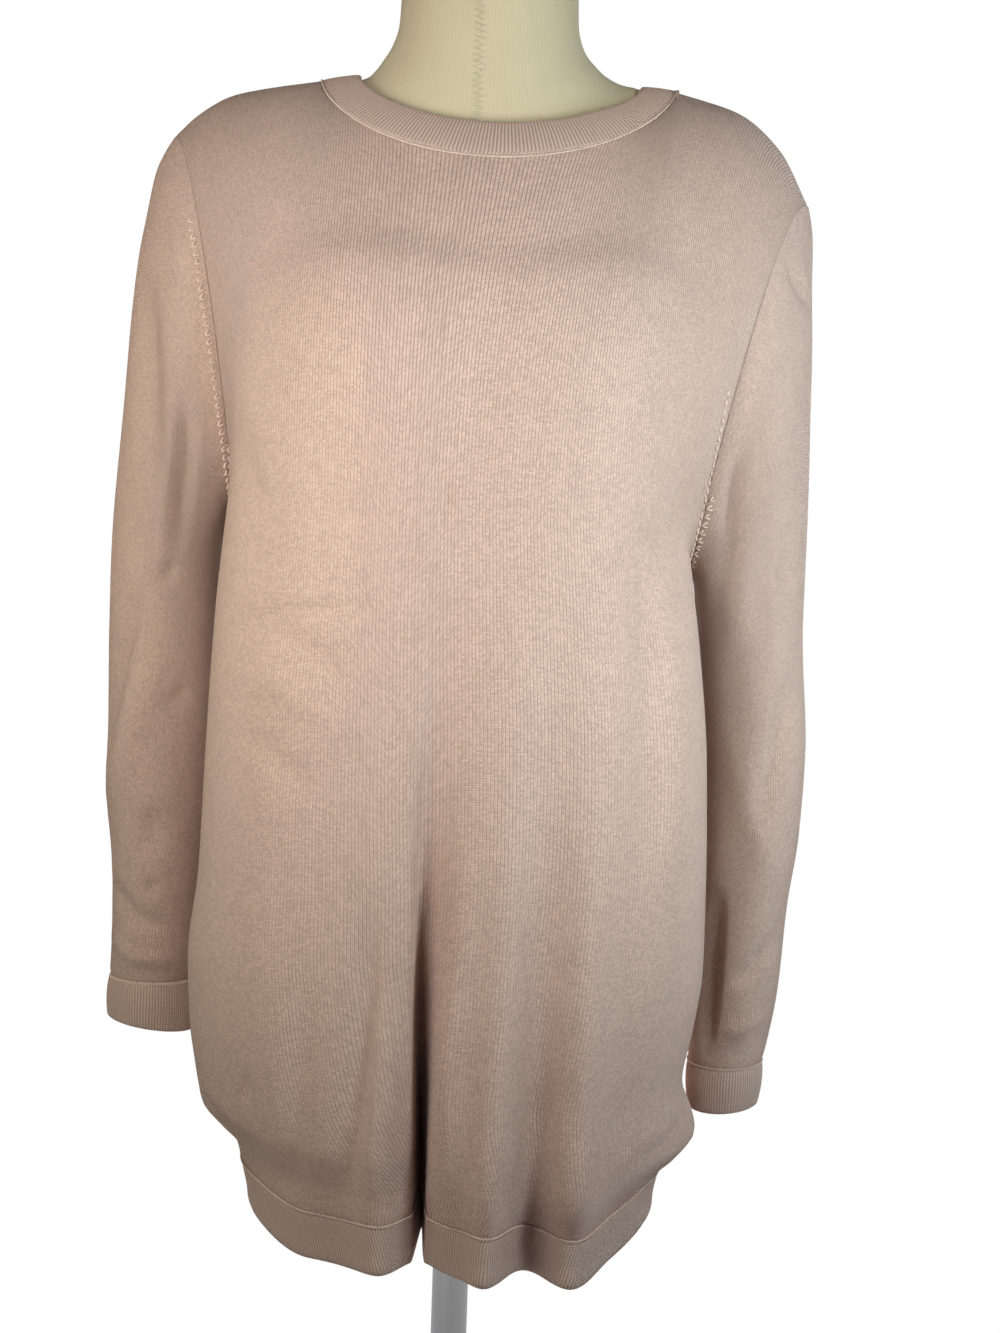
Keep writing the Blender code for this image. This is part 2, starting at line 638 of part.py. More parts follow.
def sleeve_grid(side, seam, seam_normals, directions):
    sections = SLEEVES[side]
    last = len(sections) - 1
    outward = -1.0 if side == "left" else 1.0
    places = sleeve_places()
    bows = [seam[i] - section_point(sections[0], *places[i]) for i in range(len(seam))]
    rows = []
    for ring in range(SLEEVE_RINGS + 1):
        place = last * (ring / SLEEVE_RINGS) ** SLEEVE_RING_SPREAD
        section = section_at(sections, place)
        keep = ease(1.0 - place / SLEEVE_HEAD)
        clear = SLEEVE_CLEAR * ease(place / SLEEVE_CLEAR_FROM)
        row = []
        for i, (t, facing) in enumerate(places):
            point = section_point(section, t, facing) + bows[i] * keep
            if ring == 0:
                point = seam[i] + directions[i] * SLEEVE_GAP
            elif point.z < BODY_LEVELS[-1].height:
                point = clear_of_body(point, side, clear)
            row.append(point)
        rows.append(row)
    normals = grid_normals(rows, True, -outward)
    normals[0] = [own.lerp(shared, ease((t - 0.25) / 0.4)).normalized()
                  for own, shared, (t, facing) in zip(normals[0], seam_normals, places)]
    normals[-1] = [flattened(normal, 2) for normal in normals[-1]]
    return rows, normals


def cuff_grid(side, sleeve_rows, sleeve_normals):
    places = sleeve_places()
    bottom = [section_point(CUFFS[side], t, facing) for t, facing in places]
    top = [point - Vector((0.0, 0.0, SEAM_GAP)) for point in sleeve_rows[-1]]
    rows = [top, [high.lerp(low, 0.5) for high, low in zip(top, bottom)], bottom]
    normals = grid_normals(rows, True, 1.0 if side == "left" else -1.0)
    normals[0] = sleeve_normals[-1]
    return rows, normals


# ---------------------------------------------------------------- the pieces
def build_neckband(front, back, shares, material):
    """Rib band from the neckline seam to its inner edge, one closed ring of knit."""
    seam, seam_normals, inner = [], [], []
    for (rows, lines), neck_shares, facing in ((front, shares[-1], -1), (back, shares[1], 1)):
        count = len(neck_shares)
        order = range(count) if facing < 0 else range(count - 2, 0, -1)
        for i in order:
            point = rows[-1][SHOULDER_COLUMNS + i].copy()
            if i in (0, count - 1):
                point.y = 0.0
            seam.append(point)
            seam_normals.append(lines[-1][SHOULDER_COLUMNS + i])
            inner.append(band_edge(neck_shares[i] / SHOULDER_SPLIT, facing))
    start = [low + (high - low).normalized() * BAND_GAP for low, high in zip(seam, inner)]
    rows = [start, [low.lerp(high, 0.5) for low, high in zip(start, inner)], inner]
    normals = grid_normals(rows, True, 1.0)
    normals[0] = seam_normals
    return wall("neckband", rows, normals, True, material)


def build_knit():
    knit = finish("knit", KNIT_COLOUR, 0.85)
    rib = finish("rib_knit", RIB_COLOUR, 0.88)
    neck_shares = {-1: gathered_shares(FRONT_NECK_COLUMNS, FRONT_CROWDS),
                   1: gathered_shares(BACK_NECK_COLUMNS, ())}
    shares = {facing: panel_shares(neck_shares[facing]) for facing in (-1, 1)}
    panels = {}
    for facing in (-1, 1):
        rows = panel_grid(shares[facing], facing)
        panels[facing] = (rows, grid_normals(rows, False, -facing))
    match_normals(panels[-1][1], panels[1][1])
    for facing, name in ((-1, "front"), (1, "back")):
        wall(name, *panels[facing], False, knit)
        hem_rows = hem_grid(shares[facing], facing)
        hem_normals = grid_normals(hem_rows, False, -facing)
        hem_normals[-1] = panels[facing][1][0]
        for line in hem_normals:
            for i in (0, -1):
                line[i] = flattened(line[i], 1)
        wall("hem_band_" + name, hem_rows, hem_normals, False, rib)
    build_neckband(panels[-1], panels[1], neck_shares, rib)
    for side, column, wearer in (("left", 0, "right"), ("right", -1, "left")):
        rows, normals = sleeve_grid(side, *armhole_seam(panels, side, column))
        wall("sleeve_" + wearer, rows, normals, True, knit)
        wall("cuff_" + wearer, *cuff_grid(side, rows, normals), True, rib)


def ring_point(ring, share, facing):
    """Point of one of the form's level sections."""
    across = math.sin(share * math.pi / 2.0)
    depth = ring.front if facing < 0 else ring.back
    return Vector((ring.half_width * across, depth * rounded(across, ring.power), ring.height))


def form_top(share, facing):
    """Upper edge of the torso: shoulder line, base of the neck, shoulder line."""
    if abs(share) > SHOULDER_SPLIT:
        along = (abs(share) - SHOULDER_SPLIT) / (1.0 - SHOULDER_SPLIT)
        x = between(FORM_SHOULDER, along, "share", "x")
        return Vector((math.copysign(x, share), 0.0, between(FORM_SHOULDER, along, "share", "height")))
    return neck_base(share / SHOULDER_SPLIT, facing)


def neck_base(share, facing):
    """Line where the form's neck meets its shoulders; share runs -1 to 1."""
    reach, drop = ((NECK_BASE_FRONT, NECK_BASE_DROP_FRONT) if facing < 0
                   else (NECK_BASE_BACK, NECK_BASE_DROP_BACK))
    return collar_loop(share, 0.0, NECK_BASE_WIDTH, reach, NECK_BASE_HEIGHT, drop)


def neck_point(loop, share, facing):
    """Point of one of the loops up the form's neck."""
    reach, drop = (loop.front, loop.drop_front) if facing < 0 else (loop.back, loop.drop_back)
    return collar_loop(share, 0.0, loop.half_width, reach, loop.height, drop, loop.square)


def torso_point(share, t, facing):
    """Point of the form above the underarms; t runs 0 to 1 from their level to its upper edge."""
    low = ring_point(TORSO_RINGS[-1], share, facing)
    high = form_top(share, facing)
    round_off = rounded(share, 3.0)
    leave = Vector((0.0, 0.0, YOKE_RISE))
    over_shoulder = Vector((FORM_SPREAD * (high.x - low.x), -facing * FORM_REACH * round_off, FORM_CLIMB))
    arrive = towards_neck(share, facing, neck_base, over_shoulder)
    point = Vector([hermite(low[i], high[i], leave[i], arrive[i], t) for i in range(3)])
    if facing < 0:
        for bust_x in (-BUST_X, BUST_X):
            beside = bell(point.x - bust_x, BUST_WIDTH)
            point.y -= BUST_REACH * beside * bell(point.z - BUST_HEIGHT, BUST_TALL)
    return point


def build_form():
    """Torso and neck in one closed solid, its front and back halves welded at sides and shoulders."""
    shares = panel_shares(gathered_shares(FORM_NECK_COLUMNS, ()))
    neck = shares[SHOULDER_COLUMNS:-SHOULDER_COLUMNS]
    shape = bmesh.new()
    for facing in (-1, 1):
        rows = [[ring_point(ring, share, facing) for share in shares] for ring in TORSO_RINGS]
        for step in range(1, FORM_YOKE_ROWS + 1):
            rows.append([torso_point(share, step / FORM_YOKE_ROWS, facing) for share in shares])
        collar = [rows[-1][SHOULDER_COLUMNS:-SHOULDER_COLUMNS]]
        for loop in NECK_LOOPS:
            collar.append([neck_point(loop, share / SHOULDER_SPLIT, facing) for share in neck])
        for grid in (rows, collar):
            verts = [[shape.verts.new(point) for point in row] for row in grid]
            for below, above in zip(verts, verts[1:]):
                for i in range(len(below) - 1):
                    shape.faces.new((below[i], below[i + 1], above[i + 1], above[i]))
    bmesh.ops.remove_doubles(shape, verts=shape.verts, dist=1e-5)
    bmesh.ops.holes_fill(shape, edges=shape.edges, sides=0)
    bmesh.ops.recalc_face_normals(shape, faces=shape.faces)
    mesh = bpy.data.meshes.new("dress_form")
    shape.to_mesh(mesh)
    shape.free()
    mesh.shade_smooth()
    mesh.set_sharp_from_angle(angle=math.radians(50.0))
    add_object("dress_form", mesh, finish("form_jersey", JERSEY_COLOUR, 0.9))


def build_neck_cap():
    """Shallow cap on the cut neck, with a softened upper edge."""
    low = NECK_TOP + SEAM_GAP
    top = NECK_LOOPS[-1]
    rings = []
    for height, shrink in ((low, 0.0005), (low + 0.7 * CAP_HEIGHT, 0.0005), (low + CAP_HEIGHT, 0.004)):
        level = Ring(height, top.half_width - shrink, top.front + shrink, top.back - shrink, 2.0)
        half = [index / 12.0 - 1.0 for index in range(25)]
        front = [ring_point(level, share, -1) for share in half]
        back = [ring_point(level, -share, 1) for share in half[1:-1]]
        rings.append(front + back)
    stacked_rings("neck_cap", rings, finish("form_cap", CAP_COLOUR, 0.7))


def build_stand():
    steel = finish("stand_steel", STEEL_COLOUR, 0.35, 1.0)
    socket_top = BASE_THICK + SOCKET_HEIGHT
    turned("stand_base", ((BASE_RADIUS - 0.001, 0.0), (BASE_RADIUS, 0.001),
                          (BASE_RADIUS, BASE_THICK - 0.002), (BASE_RADIUS - 0.002, BASE_THICK),
                          (SOCKET_RADIUS + 0.006, BASE_THICK), (SOCKET_RADIUS, BASE_THICK + 0.006),
                          (SOCKET_RADIUS, socket_top - 0.002), (SOCKET_RADIUS - 0.002, socket_top)), steel)
    turned("stand_pole", ((POLE_RADIUS, socket_top + SEAM_GAP),
                          (POLE_RADIUS, FORM_FLOOR - 0.030),
                          (POLE_RADIUS + 0.010, FORM_FLOOR - 0.012),
                          (0.045, FORM_FLOOR - 0.006),
                          (0.045, FORM_FLOOR - SEAM_GAP)), steel, steps=32)


def build_sweater_on_form():
    for thing in list(bpy.data.objects):
        bpy.data.objects.remove(thing, do_unlink=True)
    build_knit()
    build_form()
    build_neck_cap()
    build_stand()


build_sweater_on_form()
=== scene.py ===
# A fine-knit crewneck sweater on a limbless dress form, dressed over its CAD frame.
# Metres, +Z up, front towards -Y. "left" and "right" in the tables are the viewer's, looking at the front;
# piece names use the wearer's sides, as the frame's nodes do.
import math

import bmesh
import bpy
import numpy as np
from mathutils import Matrix, Vector


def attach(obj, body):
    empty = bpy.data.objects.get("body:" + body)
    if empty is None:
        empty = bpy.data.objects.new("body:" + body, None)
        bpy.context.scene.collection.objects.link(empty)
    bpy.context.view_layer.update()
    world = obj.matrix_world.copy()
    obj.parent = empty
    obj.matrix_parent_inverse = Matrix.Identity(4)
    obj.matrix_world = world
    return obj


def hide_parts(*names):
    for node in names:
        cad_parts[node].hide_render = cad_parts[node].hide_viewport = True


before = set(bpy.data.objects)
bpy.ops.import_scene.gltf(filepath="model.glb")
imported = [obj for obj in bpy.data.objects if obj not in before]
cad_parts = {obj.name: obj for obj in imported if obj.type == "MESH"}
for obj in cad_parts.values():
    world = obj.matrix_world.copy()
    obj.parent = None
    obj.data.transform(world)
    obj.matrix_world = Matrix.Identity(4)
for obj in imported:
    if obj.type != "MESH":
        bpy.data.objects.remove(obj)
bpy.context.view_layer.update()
print("frame loaded")

sweater = {
    "wall": 0.0015,             # thickness of the jersey
    "ribWall": 0.0022,          # thickness of the ribbed pieces
    "seamGap": 0.0003,
    "hemBottom": 0.609,
    "hemSeam": 0.6405,
    "underarmLeft": 1.105,
    "underarmRight": 1.068,
    "tiltFrom": 0.90,           # above this height the courses tilt towards the two underarms
    "neckSplit": 0.56,          # share of a panel's half width that ends at the neckline
    "yokeEdge": 0.62,           # share where the wales start to follow the armhole
    "yokeRows": 96,             # rows from the underarms to the shoulders
    "rowStep": 0.0042,          # row spacing below the underarms
    "foldShare": 0.35,          # how much of the centre fold's depth counts when the wales are spaced
    "seamDip": 0.0007,          # how far the cloth sinks at a seam, and over what width
    "seamWidth": 0.0028,
    "armholeDip": 0.35,         # share of that dip at the armholes and the side seams
}


def easeOff(value):
    value = np.clip(value, 0.0, 1.0)
    return value * value * (3.0 - 2.0 * value)


def bell(distance, width):
    return np.exp(-(distance / width) ** 2)


def mix(low, high, part):
    return low + (high - low) * part


def hermite(start, end, leave, arrive, t):
    rise = t * t * (3.0 - 2.0 * t)
    return start * (1.0 - rise) + end * rise + leave * (t * (1.0 - t) ** 2) - arrive * (t * t * (1.0 - t))


# smooth value of one column of a table at places along another, without overshoot
def along(table, key, name, place):
    keys, values = np.array(table[key], float), np.array(table[name], float)
    steps = np.diff(keys)
    slopes = np.diff(values) / steps
    before, after = slopes[:-1], slopes[1:]
    agree = before * after > 0.0
    inner = np.where(agree, 2.0 * before * after / np.where(agree, before + after, 1.0), 0.0)
    tangents = np.concatenate((slopes[:1], inner, slopes[-1:]))
    place = np.clip(place, keys[0], keys[-1])
    i = np.clip(np.searchsorted(keys, place, side="right") - 1, 0, len(steps) - 1)
    t = (place - keys[i]) / steps[i]
    return hermite(values[i], values[i + 1], tangents[i] * steps[i], tangents[i + 1] * steps[i], t)


def rounded(share, power):
    return np.maximum(0.0, 1.0 - np.abs(share) ** power) ** (1.0 / power)


def triples(x, y, z):
    return np.stack(np.broadcast_arrays(x, y, z), axis=-1).astype(float)


def unit(vectors):
    return vectors / np.maximum(np.linalg.norm(vectors, axis=-1, keepdims=True), 1e-12)


# running length along one axis of a grid of points
def runLength(points, axis):
    steps = np.linalg.norm(np.diff(points, axis=axis), axis=-1)
    total = np.cumsum(steps, axis=axis)
    return np.concatenate((np.zeros_like(np.take(total, [0], axis=axis)), total), axis=axis)


# level sections of the body from the hem to the underarms; power is how square they are
bodyLevels = {
    "height": [0.609, 0.6405, 0.656, 0.668, 0.685, 0.712, 0.745, 0.790, 0.850, 0.930, 1.010, 1.0865],
    "left": [-0.1400, -0.1480, -0.1525, -0.1640, -0.1752, -0.1795, -0.1842, -0.1862, -0.1800, -0.1775,
             -0.1748, -0.1690],
    "right": [0.1365, 0.1435, 0.1590, 0.1665, 0.1632, 0.1560, 0.1615, 0.1675, 0.1680, 0.1662, 0.1595, 0.1500],
    "front": [-0.1430, -0.1480, -0.1510, -0.1535, -0.1560, -0.1570, -0.1570, -0.1560, -0.1550, -0.1520,
              -0.1485, -0.1450],
    "back": [0.115, 0.121, 0.128, 0.132, 0.133, 0.133, 0.132, 0.130, 0.127, 0.122, 0.118, 0.115],
    "power": [2.0, 2.0, 2.05, 2.1, 2.2, 2.3, 2.45, 2.6, 2.7, 2.75, 2.75, 2.75],
}

# the centre fold: its two lips, how wide its walls are, how deep it goes, and the cupped lobes beside it
centreFold = {
    "height": [0.609, 0.645, 0.678, 0.711, 0.744, 0.778, 0.812, 0.853, 0.900, 0.970, 1.060],
    "leftLip": [-0.0240, -0.0240, -0.0245, -0.0255, -0.0268, -0.0282, -0.0290, -0.0300, -0.0305,
                -0.0300, -0.0280],
    "leftWall": [0.0045, 0.0036, 0.0032, 0.0032, 0.0034, 0.0040, 0.0050, 0.0070, 0.0100, 0.0140, 0.0170],
    "rightLip": [-0.0140, -0.0135, -0.0120, -0.0095, -0.0060, -0.0015, 0.0045, 0.0120, 0.0180, 0.0170,
                 0.0150],
    "rightWall": [0.0055, 0.0069, 0.0093, 0.0128, 0.0174, 0.0229, 0.0291, 0.0366, 0.0417, 0.0380, 0.0310],
    "depth": [0.1020, 0.0950, 0.0860, 0.0720, 0.0560, 0.0440, 0.0320, 0.0225, 0.0145, 0.0075, 0.0030],
    "cup": [0.0260, 0.0250, 0.0230, 0.0200, 0.0150, 0.0110, 0.0070, 0.0035, 0.0015, 0.0000, 0.0000],
    "cupWidth": [0.0145, 0.0140, 0.0135, 0.0135, 0.0135, 0.0140, 0.0140, 0.0140, 0.0140, 0.0140, 0.0140],
}

# how the hem swings up at the sides and down under its lobes, below "from"
hemLift = {
    "x": [-0.1350, -0.1250, -0.1107, -0.0900, -0.0670, -0.0450, 0.0350, 0.0560, 0.0820, 0.1050, 0.1300],
    "rise": [0.0080, 0.0062, 0.0032, 0.0000, 0.0000, 0.0010, 0.0000, -0.0045, -0.0065, -0.0010, 0.0085],
    "from": 0.715, "over": 0.055,
}

# soft ridges (positive reach) and troughs (negative) that fall from the bust to the hem
frontFolds = {
    "xHem": [-0.0420, 0.0240, 0.0500, 0.0800, -0.1020],
    "xTop": [-0.0500, 0.0360, 0.0560, 0.0880, -0.1050],
    "topHeight": [0.860, 1.080, 1.080, 1.080, 0.800],
    "reach": [0.0140, 0.0240, -0.0190, 0.0240, 0.0060],
    "width": [0.0170, 0.0145, 0.0135, 0.0170, 0.0180],
}
backFolds = {
    "xHem": [-0.0950, -0.0350, 0.0250, 0.0850],
    "xTop": [-0.0850, -0.0300, 0.0250, 0.0750],
    "topHeight": [1.020, 1.050, 0.980, 1.050],
    "reach": [0.0120, -0.0160, 0.0140, -0.0120],
    "width": [0.0200, 0.0200, 0.0180, 0.0200],
}

neckline = {"x": 0.0083, "halfWidth": 0.1237, "front": -0.0780, "back": 0.0760, "height": 1.3955,
            "dropFront": 0.0685, "dropBack": 0.0200}
bandEdge = {"x": 0.0092, "halfWidth": 0.0988, "front": -0.0630, "back": 0.0640, "height": 1.4000,
            "dropFront": 0.0480, "dropBack": 0.0090}
collarShape = {"square": 0.8, "dip": 1.15}     # below 1 makes the loops round the neck squarer

# how strongly the yoke rises from the underarms and crosses the shoulders, the room over the bust and the
# hollow between its two sides
yoke = {
    "rise": 0.34, "reach": 0.275, "climb": 0.07, "spread": 1.1, "bandLead": 7.0,
    "bowFront": 0.064, "bowBack": 0.075,   # how far the armholes bow forward and back
    "bustX": 0.088, "bustHeight": 1.195, "bustEase": 0.006, "bustWidth": 0.050, "bustTall": 0.055,
    "hollow": 0.0045, "hollowX": 0.004, "hollowHeight": 1.150, "hollowWidth": 0.034, "hollowTall": 0.070,
}
# the shelf that the bust makes: how high its edge runs, how far it stands out, and how fast it fades
bustShelf = {
    "x": [-0.150, -0.125, -0.092, -0.060, -0.030, 0.005, 0.040, 0.070, 0.100, 0.130, 0.155],
    "height": [1.215, 1.232, 1.246, 1.246, 1.240, 1.232, 1.236, 1.245, 1.246, 1.234, 1.215],
    "reach": [0.0000, 0.0050, 0.0088, 0.0088, 0.0068, 0.0045, 0.0058, 0.0084, 0.0086, 0.0050, 0.0000],
    "above": 0.029, "below": 0.120,
}
# how far the armhole edges lean sideways where they leave the underarms and where they reach the shoulders
armholes = {
    "left": {"startPull": 0.040, "endPull": -0.080},
    "right": {"startPull": -0.008, "endPull": 0.093},
}
shoulders = {
    "left": {"share": [0.00, 0.30, 0.62, 0.84, 1.00],
             "x": [-0.1154, -0.1450, -0.1780, -0.2020, -0.2190],
             "height": [1.3955, 1.3902, 1.3828, 1.3684, 1.3516]},
    "right": {"share": [0.00, 0.25, 0.50, 0.76, 1.00],
              "x": [0.1320, 0.1550, 0.1790, 0.2070, 0.2275],
              "height": [1.3955, 1.3892, 1.3805, 1.3562, 1.3180]},
}


def foldRelief(folds, x, height):
    total = 0.0
    for xHem, xTop, top, reach, width in zip(*(folds[name] for name in ("xHem", "xTop", "topHeight",
                                                                       "reach", "width"))):
        run = np.clip((top - height) / (top - sweater["hemBottom"]), 0.0, 1.0)
        total = total + reach * run ** 1.8 * bell(x - mix(xTop, xHem, run), width)
    return total


def centreValley(x, height):
    part = {name: along(centreFold, "height", name, height) for name in centreFold if name != "height"}
    wall = (easeOff((x - part["leftLip"]) / part["leftWall"])
            * easeOff((part["rightLip"] - x) / part["rightWall"]))
    middle = (part["leftLip"] + part["leftWall"] + part["rightLip"] - part["rightWall"]) / 2.0
    return (part["depth"] - part["cup"]) * wall + part["cup"] * bell(x - middle, part["cupWidth"])


def bodyPoint(share, height, facing, foldShown=1.0):
    left, right, power = (along(bodyLevels, "height", name, height) for name in ("left", "right", "power"))
    depth = along(bodyLevels, "height", "front" if facing < 0 else "back", height)
    across = np.sin(share * np.pi / 2.0)
    x = (left + right) / 2.0 + (right - left) / 2.0 * across
    inward = rounded(across, power)
    sway = easeOff(1.6 * inward)
    if facing < 0:
        y = depth * inward + sway * (foldShown * centreValley(x, height) - foldRelief(frontFolds, x, height))
    else:
        y = depth * inward + sway * foldRelief(backFolds, x, height)
    top = bodyLevels["height"][-1]
    tilt = easeOff((height - sweater["tiltFrom"]) / (top - sweater["tiltFrom"]))
    swing = easeOff((hemLift["from"] - height) / hemLift["over"]) * along(hemLift, "x", "rise", x)
    z = height + swing - tilt * share * (sweater["underarmLeft"] - sweater["underarmRight"]) / 2.0
    return triples(x, y, z)


# half of a loop round the neck; share runs -1 to 1 from shoulder to shoulder
def collarLoop(loop, share, facing):
    side = "front" if facing < 0 else "back"
    angle = np.clip(share, -1.0, 1.0) * np.pi / 2.0
    cosine = np.maximum(np.cos(angle), 0.0)
    drop = loop["drop" + side.capitalize()]
    square = loop.get("square", collarShape["square"])
    return triples(loop.get("x", 0.0) + loop["halfWidth"] * np.sin(angle), loop[side] * cosine ** square,
                   loop["height"] - drop * cosine ** collarShape["dip"])


def topEdge(share, facing):
    split = sweater["neckSplit"]
    edge = collarLoop(neckline, share / split, facing)
    out = np.clip((np.abs(share) - split) / (1.0 - split), 0.0, 1.0)
    for side, mine in (("left", share < -split), ("right", share > split)):
        rows = shoulders[side]
        line = triples(along(rows, "share", "x", out), 0.0, along(rows, "share", "height", out))
        edge = np.where(mine[..., None], line, edge)
    return edge


# the body above the underarms; t runs 0 to 1 from their level to the upper edge
def yokePoints(share, t, facing):
    pull = {name: np.where(share < 0.0, armholes["left"][name], armholes["right"][name])
            for name in ("startPull", "endPull")}
    bow = 4.0 * (-yoke["bowFront"] if facing < 0 else yoke["bowBack"])
    edge = easeOff((np.abs(share) - sweater["yokeEdge"]) / (1.0 - sweater["yokeEdge"]))[..., None]
    low = bodyPoint(share, bodyLevels["height"][-1], facing)
    high = topEdge(share, facing)
    leave = mix(triples(0.0 * share, 0.0, yoke["rise"]), triples(pull["startPull"], bow, 0.0), edge)
    over = triples(yoke["spread"] * (high[:, 0] - low[:, 0]), -facing * yoke["reach"], yoke["climb"])
    place = share / sweater["neckSplit"]
    upBand = (collarLoop(bandEdge, place, facing) - collarLoop(neckline, place, facing)) * yoke["bandLead"]
    upBand[:, 0] = over[:, 0]
    arrive = mix(upBand, over, np.minimum(np.abs(place), 1.0)[:, None] ** 4)
    arrive = mix(arrive, triples(pull["endPull"], -bow, 0.0), edge)
    t = t[:, None, None]
    points = hermite(low[None], high[None], leave[None], arrive[None], t)
    if facing < 0:
        for x in (-yoke["bustX"], yoke["bustX"]):
            points[..., 1] -= (yoke["bustEase"] * bell(points[..., 0] - x, yoke["bustWidth"])
                               * bell(points[..., 2] - yoke["bustHeight"], yoke["bustTall"]))
        points[..., 1] += (yoke["hollow"] * bell(points[..., 0] - yoke["hollowX"], yoke["hollowWidth"])
                           * bell(points[..., 2] - yoke["hollowHeight"], yoke["hollowTall"]))
        edge, reach = (along(bustShelf, "x", name, points[..., 0]) for name in ("height", "reach"))
        off = points[..., 2] - edge
        points[..., 1] -= reach * easeOff(1.0 - np.where(off > 0.0, off / bustShelf["above"],
                                                         -off / bustShelf["below"]))
    return points


# shares at even steps of arc length along one level section, between two shares
def evenShares(facing, low, high, count):
    fine = np.linspace(low, high, 1201)
    line = bodyPoint(fine, bodyLevels["height"][-1], facing)
    run = runLength(line, 0)
    return np.interp(np.linspace(0.0, run[-1], count + 1), run, fine)


# columns of a body panel: the same wales all the way, evenly spread along every section they cross, with
# only a share of the centre fold's depth counted, so that they hang nearly straight beside it
def panelGrid(facing, shoulderColumns, neckColumns):
    split = sweater["neckSplit"]
    top = np.concatenate((evenShares(facing, -1.0, -split, shoulderColumns)[:-1],
                          evenShares(facing, -split, split, neckColumns),
                          evenShares(facing, split, 1.0, shoulderColumns)[1:]))
    fine = np.linspace(-1.0, 1.0, 3001)
    topLine = runLength(bodyPoint(fine, bodyLevels["height"][-1], facing, sweater["foldShare"]), 0)
    place = np.interp(top, fine, topLine) / topLine[-1]
    tall = bodyLevels["height"][-1] - sweater["hemSeam"]
    heights = sweater["hemSeam"] + tall * np.linspace(0.0, 1.0, int(tall / sweater["rowStep"]) + 1)
    rows = []
    for height in heights:
        line = runLength(bodyPoint(fine, height, facing, sweater["foldShare"]), 0)
        rows.append(bodyPoint(np.interp(place, line / line[-1], fine), height, facing))
    above = yokePoints(top, np.arange(1, sweater["yokeRows"] + 1) / sweater["yokeRows"], facing)
    points = np.concatenate((np.array(rows), above))
    points = evenOut(points, len(heights), 90)
    points[..., 1] += facing * sweater["seamGap"] / 2.0
    return {"points": points, "shares": top, "place": place, "width": topLine[-1], "below": len(heights) - 1}


# smooths a panel's columns across the yoke, leaving its edges where they are
def evenOut(points, first, rounds):
    count, width = points.shape[:2]
    row = np.arange(count)[:, None]
    column = np.arange(width)[None]
    hold = (easeOff((row - first + 24.0) / 24.0) * easeOff((count - 1.0 - row) / 14.0)
            * easeOff(column / 10.0) * easeOff((width - 1.0 - column) / 10.0))[:, 1:-1, None] * 0.5
    points = points.copy()
    for _ in range(rounds):
        points[:, 1:-1] += hold * ((points[:, :-2] + points[:, 2:]) / 2.0 - points[:, 1:-1])
    return points


def gridNormals(points, closed, outward):
    if closed:
        around = np.concatenate((points[:, -1:], points, points[:, :1]), axis=1)
        steps = unit(np.diff(around, axis=1))
        across = steps[:, :-1] + steps[:, 1:]
    else:
        steps = unit(np.diff(points, axis=1))
        across = np.concatenate((steps[:, :1], steps[:, :-1] + steps[:, 1:], steps[:, -1:]), axis=1)
    steps = unit(np.diff(points, axis=0))
    up = np.concatenate((steps[:1], steps[:-1] + steps[1:], steps[-1:]), axis=0)
    return unit(np.cross(across, up)) * outward


# a sheet of cloth with real thickness; the grid is its outer face and "rolls" says which rims are round
def clothShell(name, points, normals, closed, thickness, weave, rolls=(False, False)):
    height, width = points.shape[:2]
    inside = points - normals * thickness
    verts = [points.reshape(-1, 3), inside.reshape(-1, 3)]
    u, v = weave
    uvs = [np.stack((u, v), -1)]
    ids = np.arange(height * width).reshape(height, width)
    columns = np.concatenate((ids, ids[:, :1]), axis=1) if closed else ids
    uvIds = np.arange(height * u.shape[1]).reshape(height, u.shape[1])
    low, high = columns[:-1], columns[1:]
    lowUv, highUv = uvIds[:-1], uvIds[1:]
    outer = np.stack((low[:, :-1], low[:, 1:], high[:, 1:], high[:, :-1]), -1).reshape(-1, 4)
    outerUv = np.stack((lowUv[:, :-1], lowUv[:, 1:], highUv[:, 1:], highUv[:, :-1]), -1).reshape(-1, 4)
    faces, faceUvs = [outer, (outer + height * width)[:, ::-1]], [outerUv, outerUv[:, ::-1]]
    total = 2 * height * width
    for rim, roll in ((0, rolls[0]), (height - 1, rolls[1])):
        nextRow = 1 if rim == 0 else height - 2
        push = unit(points[rim] - points[nextRow]) * thickness * (0.45 if roll else 0.0)
        verts.append((points[rim] + inside[rim]) / 2.0 + push)
        mid = total + np.arange(width)
        total += width
        mid = np.concatenate((mid, mid[:1])) if closed else mid
        line, uvLine = columns[rim], uvIds[rim]
        strips = ((mid[:-1], mid[1:], line[1:], line[:-1]),
                  ((line + height * width)[:-1], (line + height * width)[1:], mid[1:], mid[:-1]))
        for strip in strips:
            quad = np.stack(strip, -1)
            quadUv = np.stack((uvLine[:-1], uvLine[1:], uvLine[1:], uvLine[:-1]), -1)
            faces.append(quad if rim == 0 else quad[:, ::-1])
            faceUvs.append(quadUv if rim == 0 else quadUv[:, ::-1])
    if not closed:
        lowMid, highMid = 2 * height * width, 2 * height * width + width
        for side in (0, -1):
            line = np.concatenate(([lowMid + side % width], ids[:, side], [highMid + side % width]))
            back = np.concatenate(([lowMid + side % width], ids[:, side] + height * width,
                                   [highMid + side % width]))
            uvLine = np.concatenate(([uvIds[0, side]], uvIds[:, side], [uvIds[-1, side]]))
            quad = np.stack((line[:-1], line[1:], back[1:], back[:-1]), -1)
            quadUv = np.stack((uvLine[:-1], uvLine[1:], uvLine[1:], uvLine[:-1]), -1)
            faces.append(quad if side == 0 else quad[:, ::-1])
            faceUvs.append(quadUv if side == 0 else quadUv[:, ::-1])
    return meshFrom(name, np.concatenate(verts), np.concatenate(faces), np.concatenate(uvs).reshape(-1, 2),
                    np.concatenate(faceUvs))


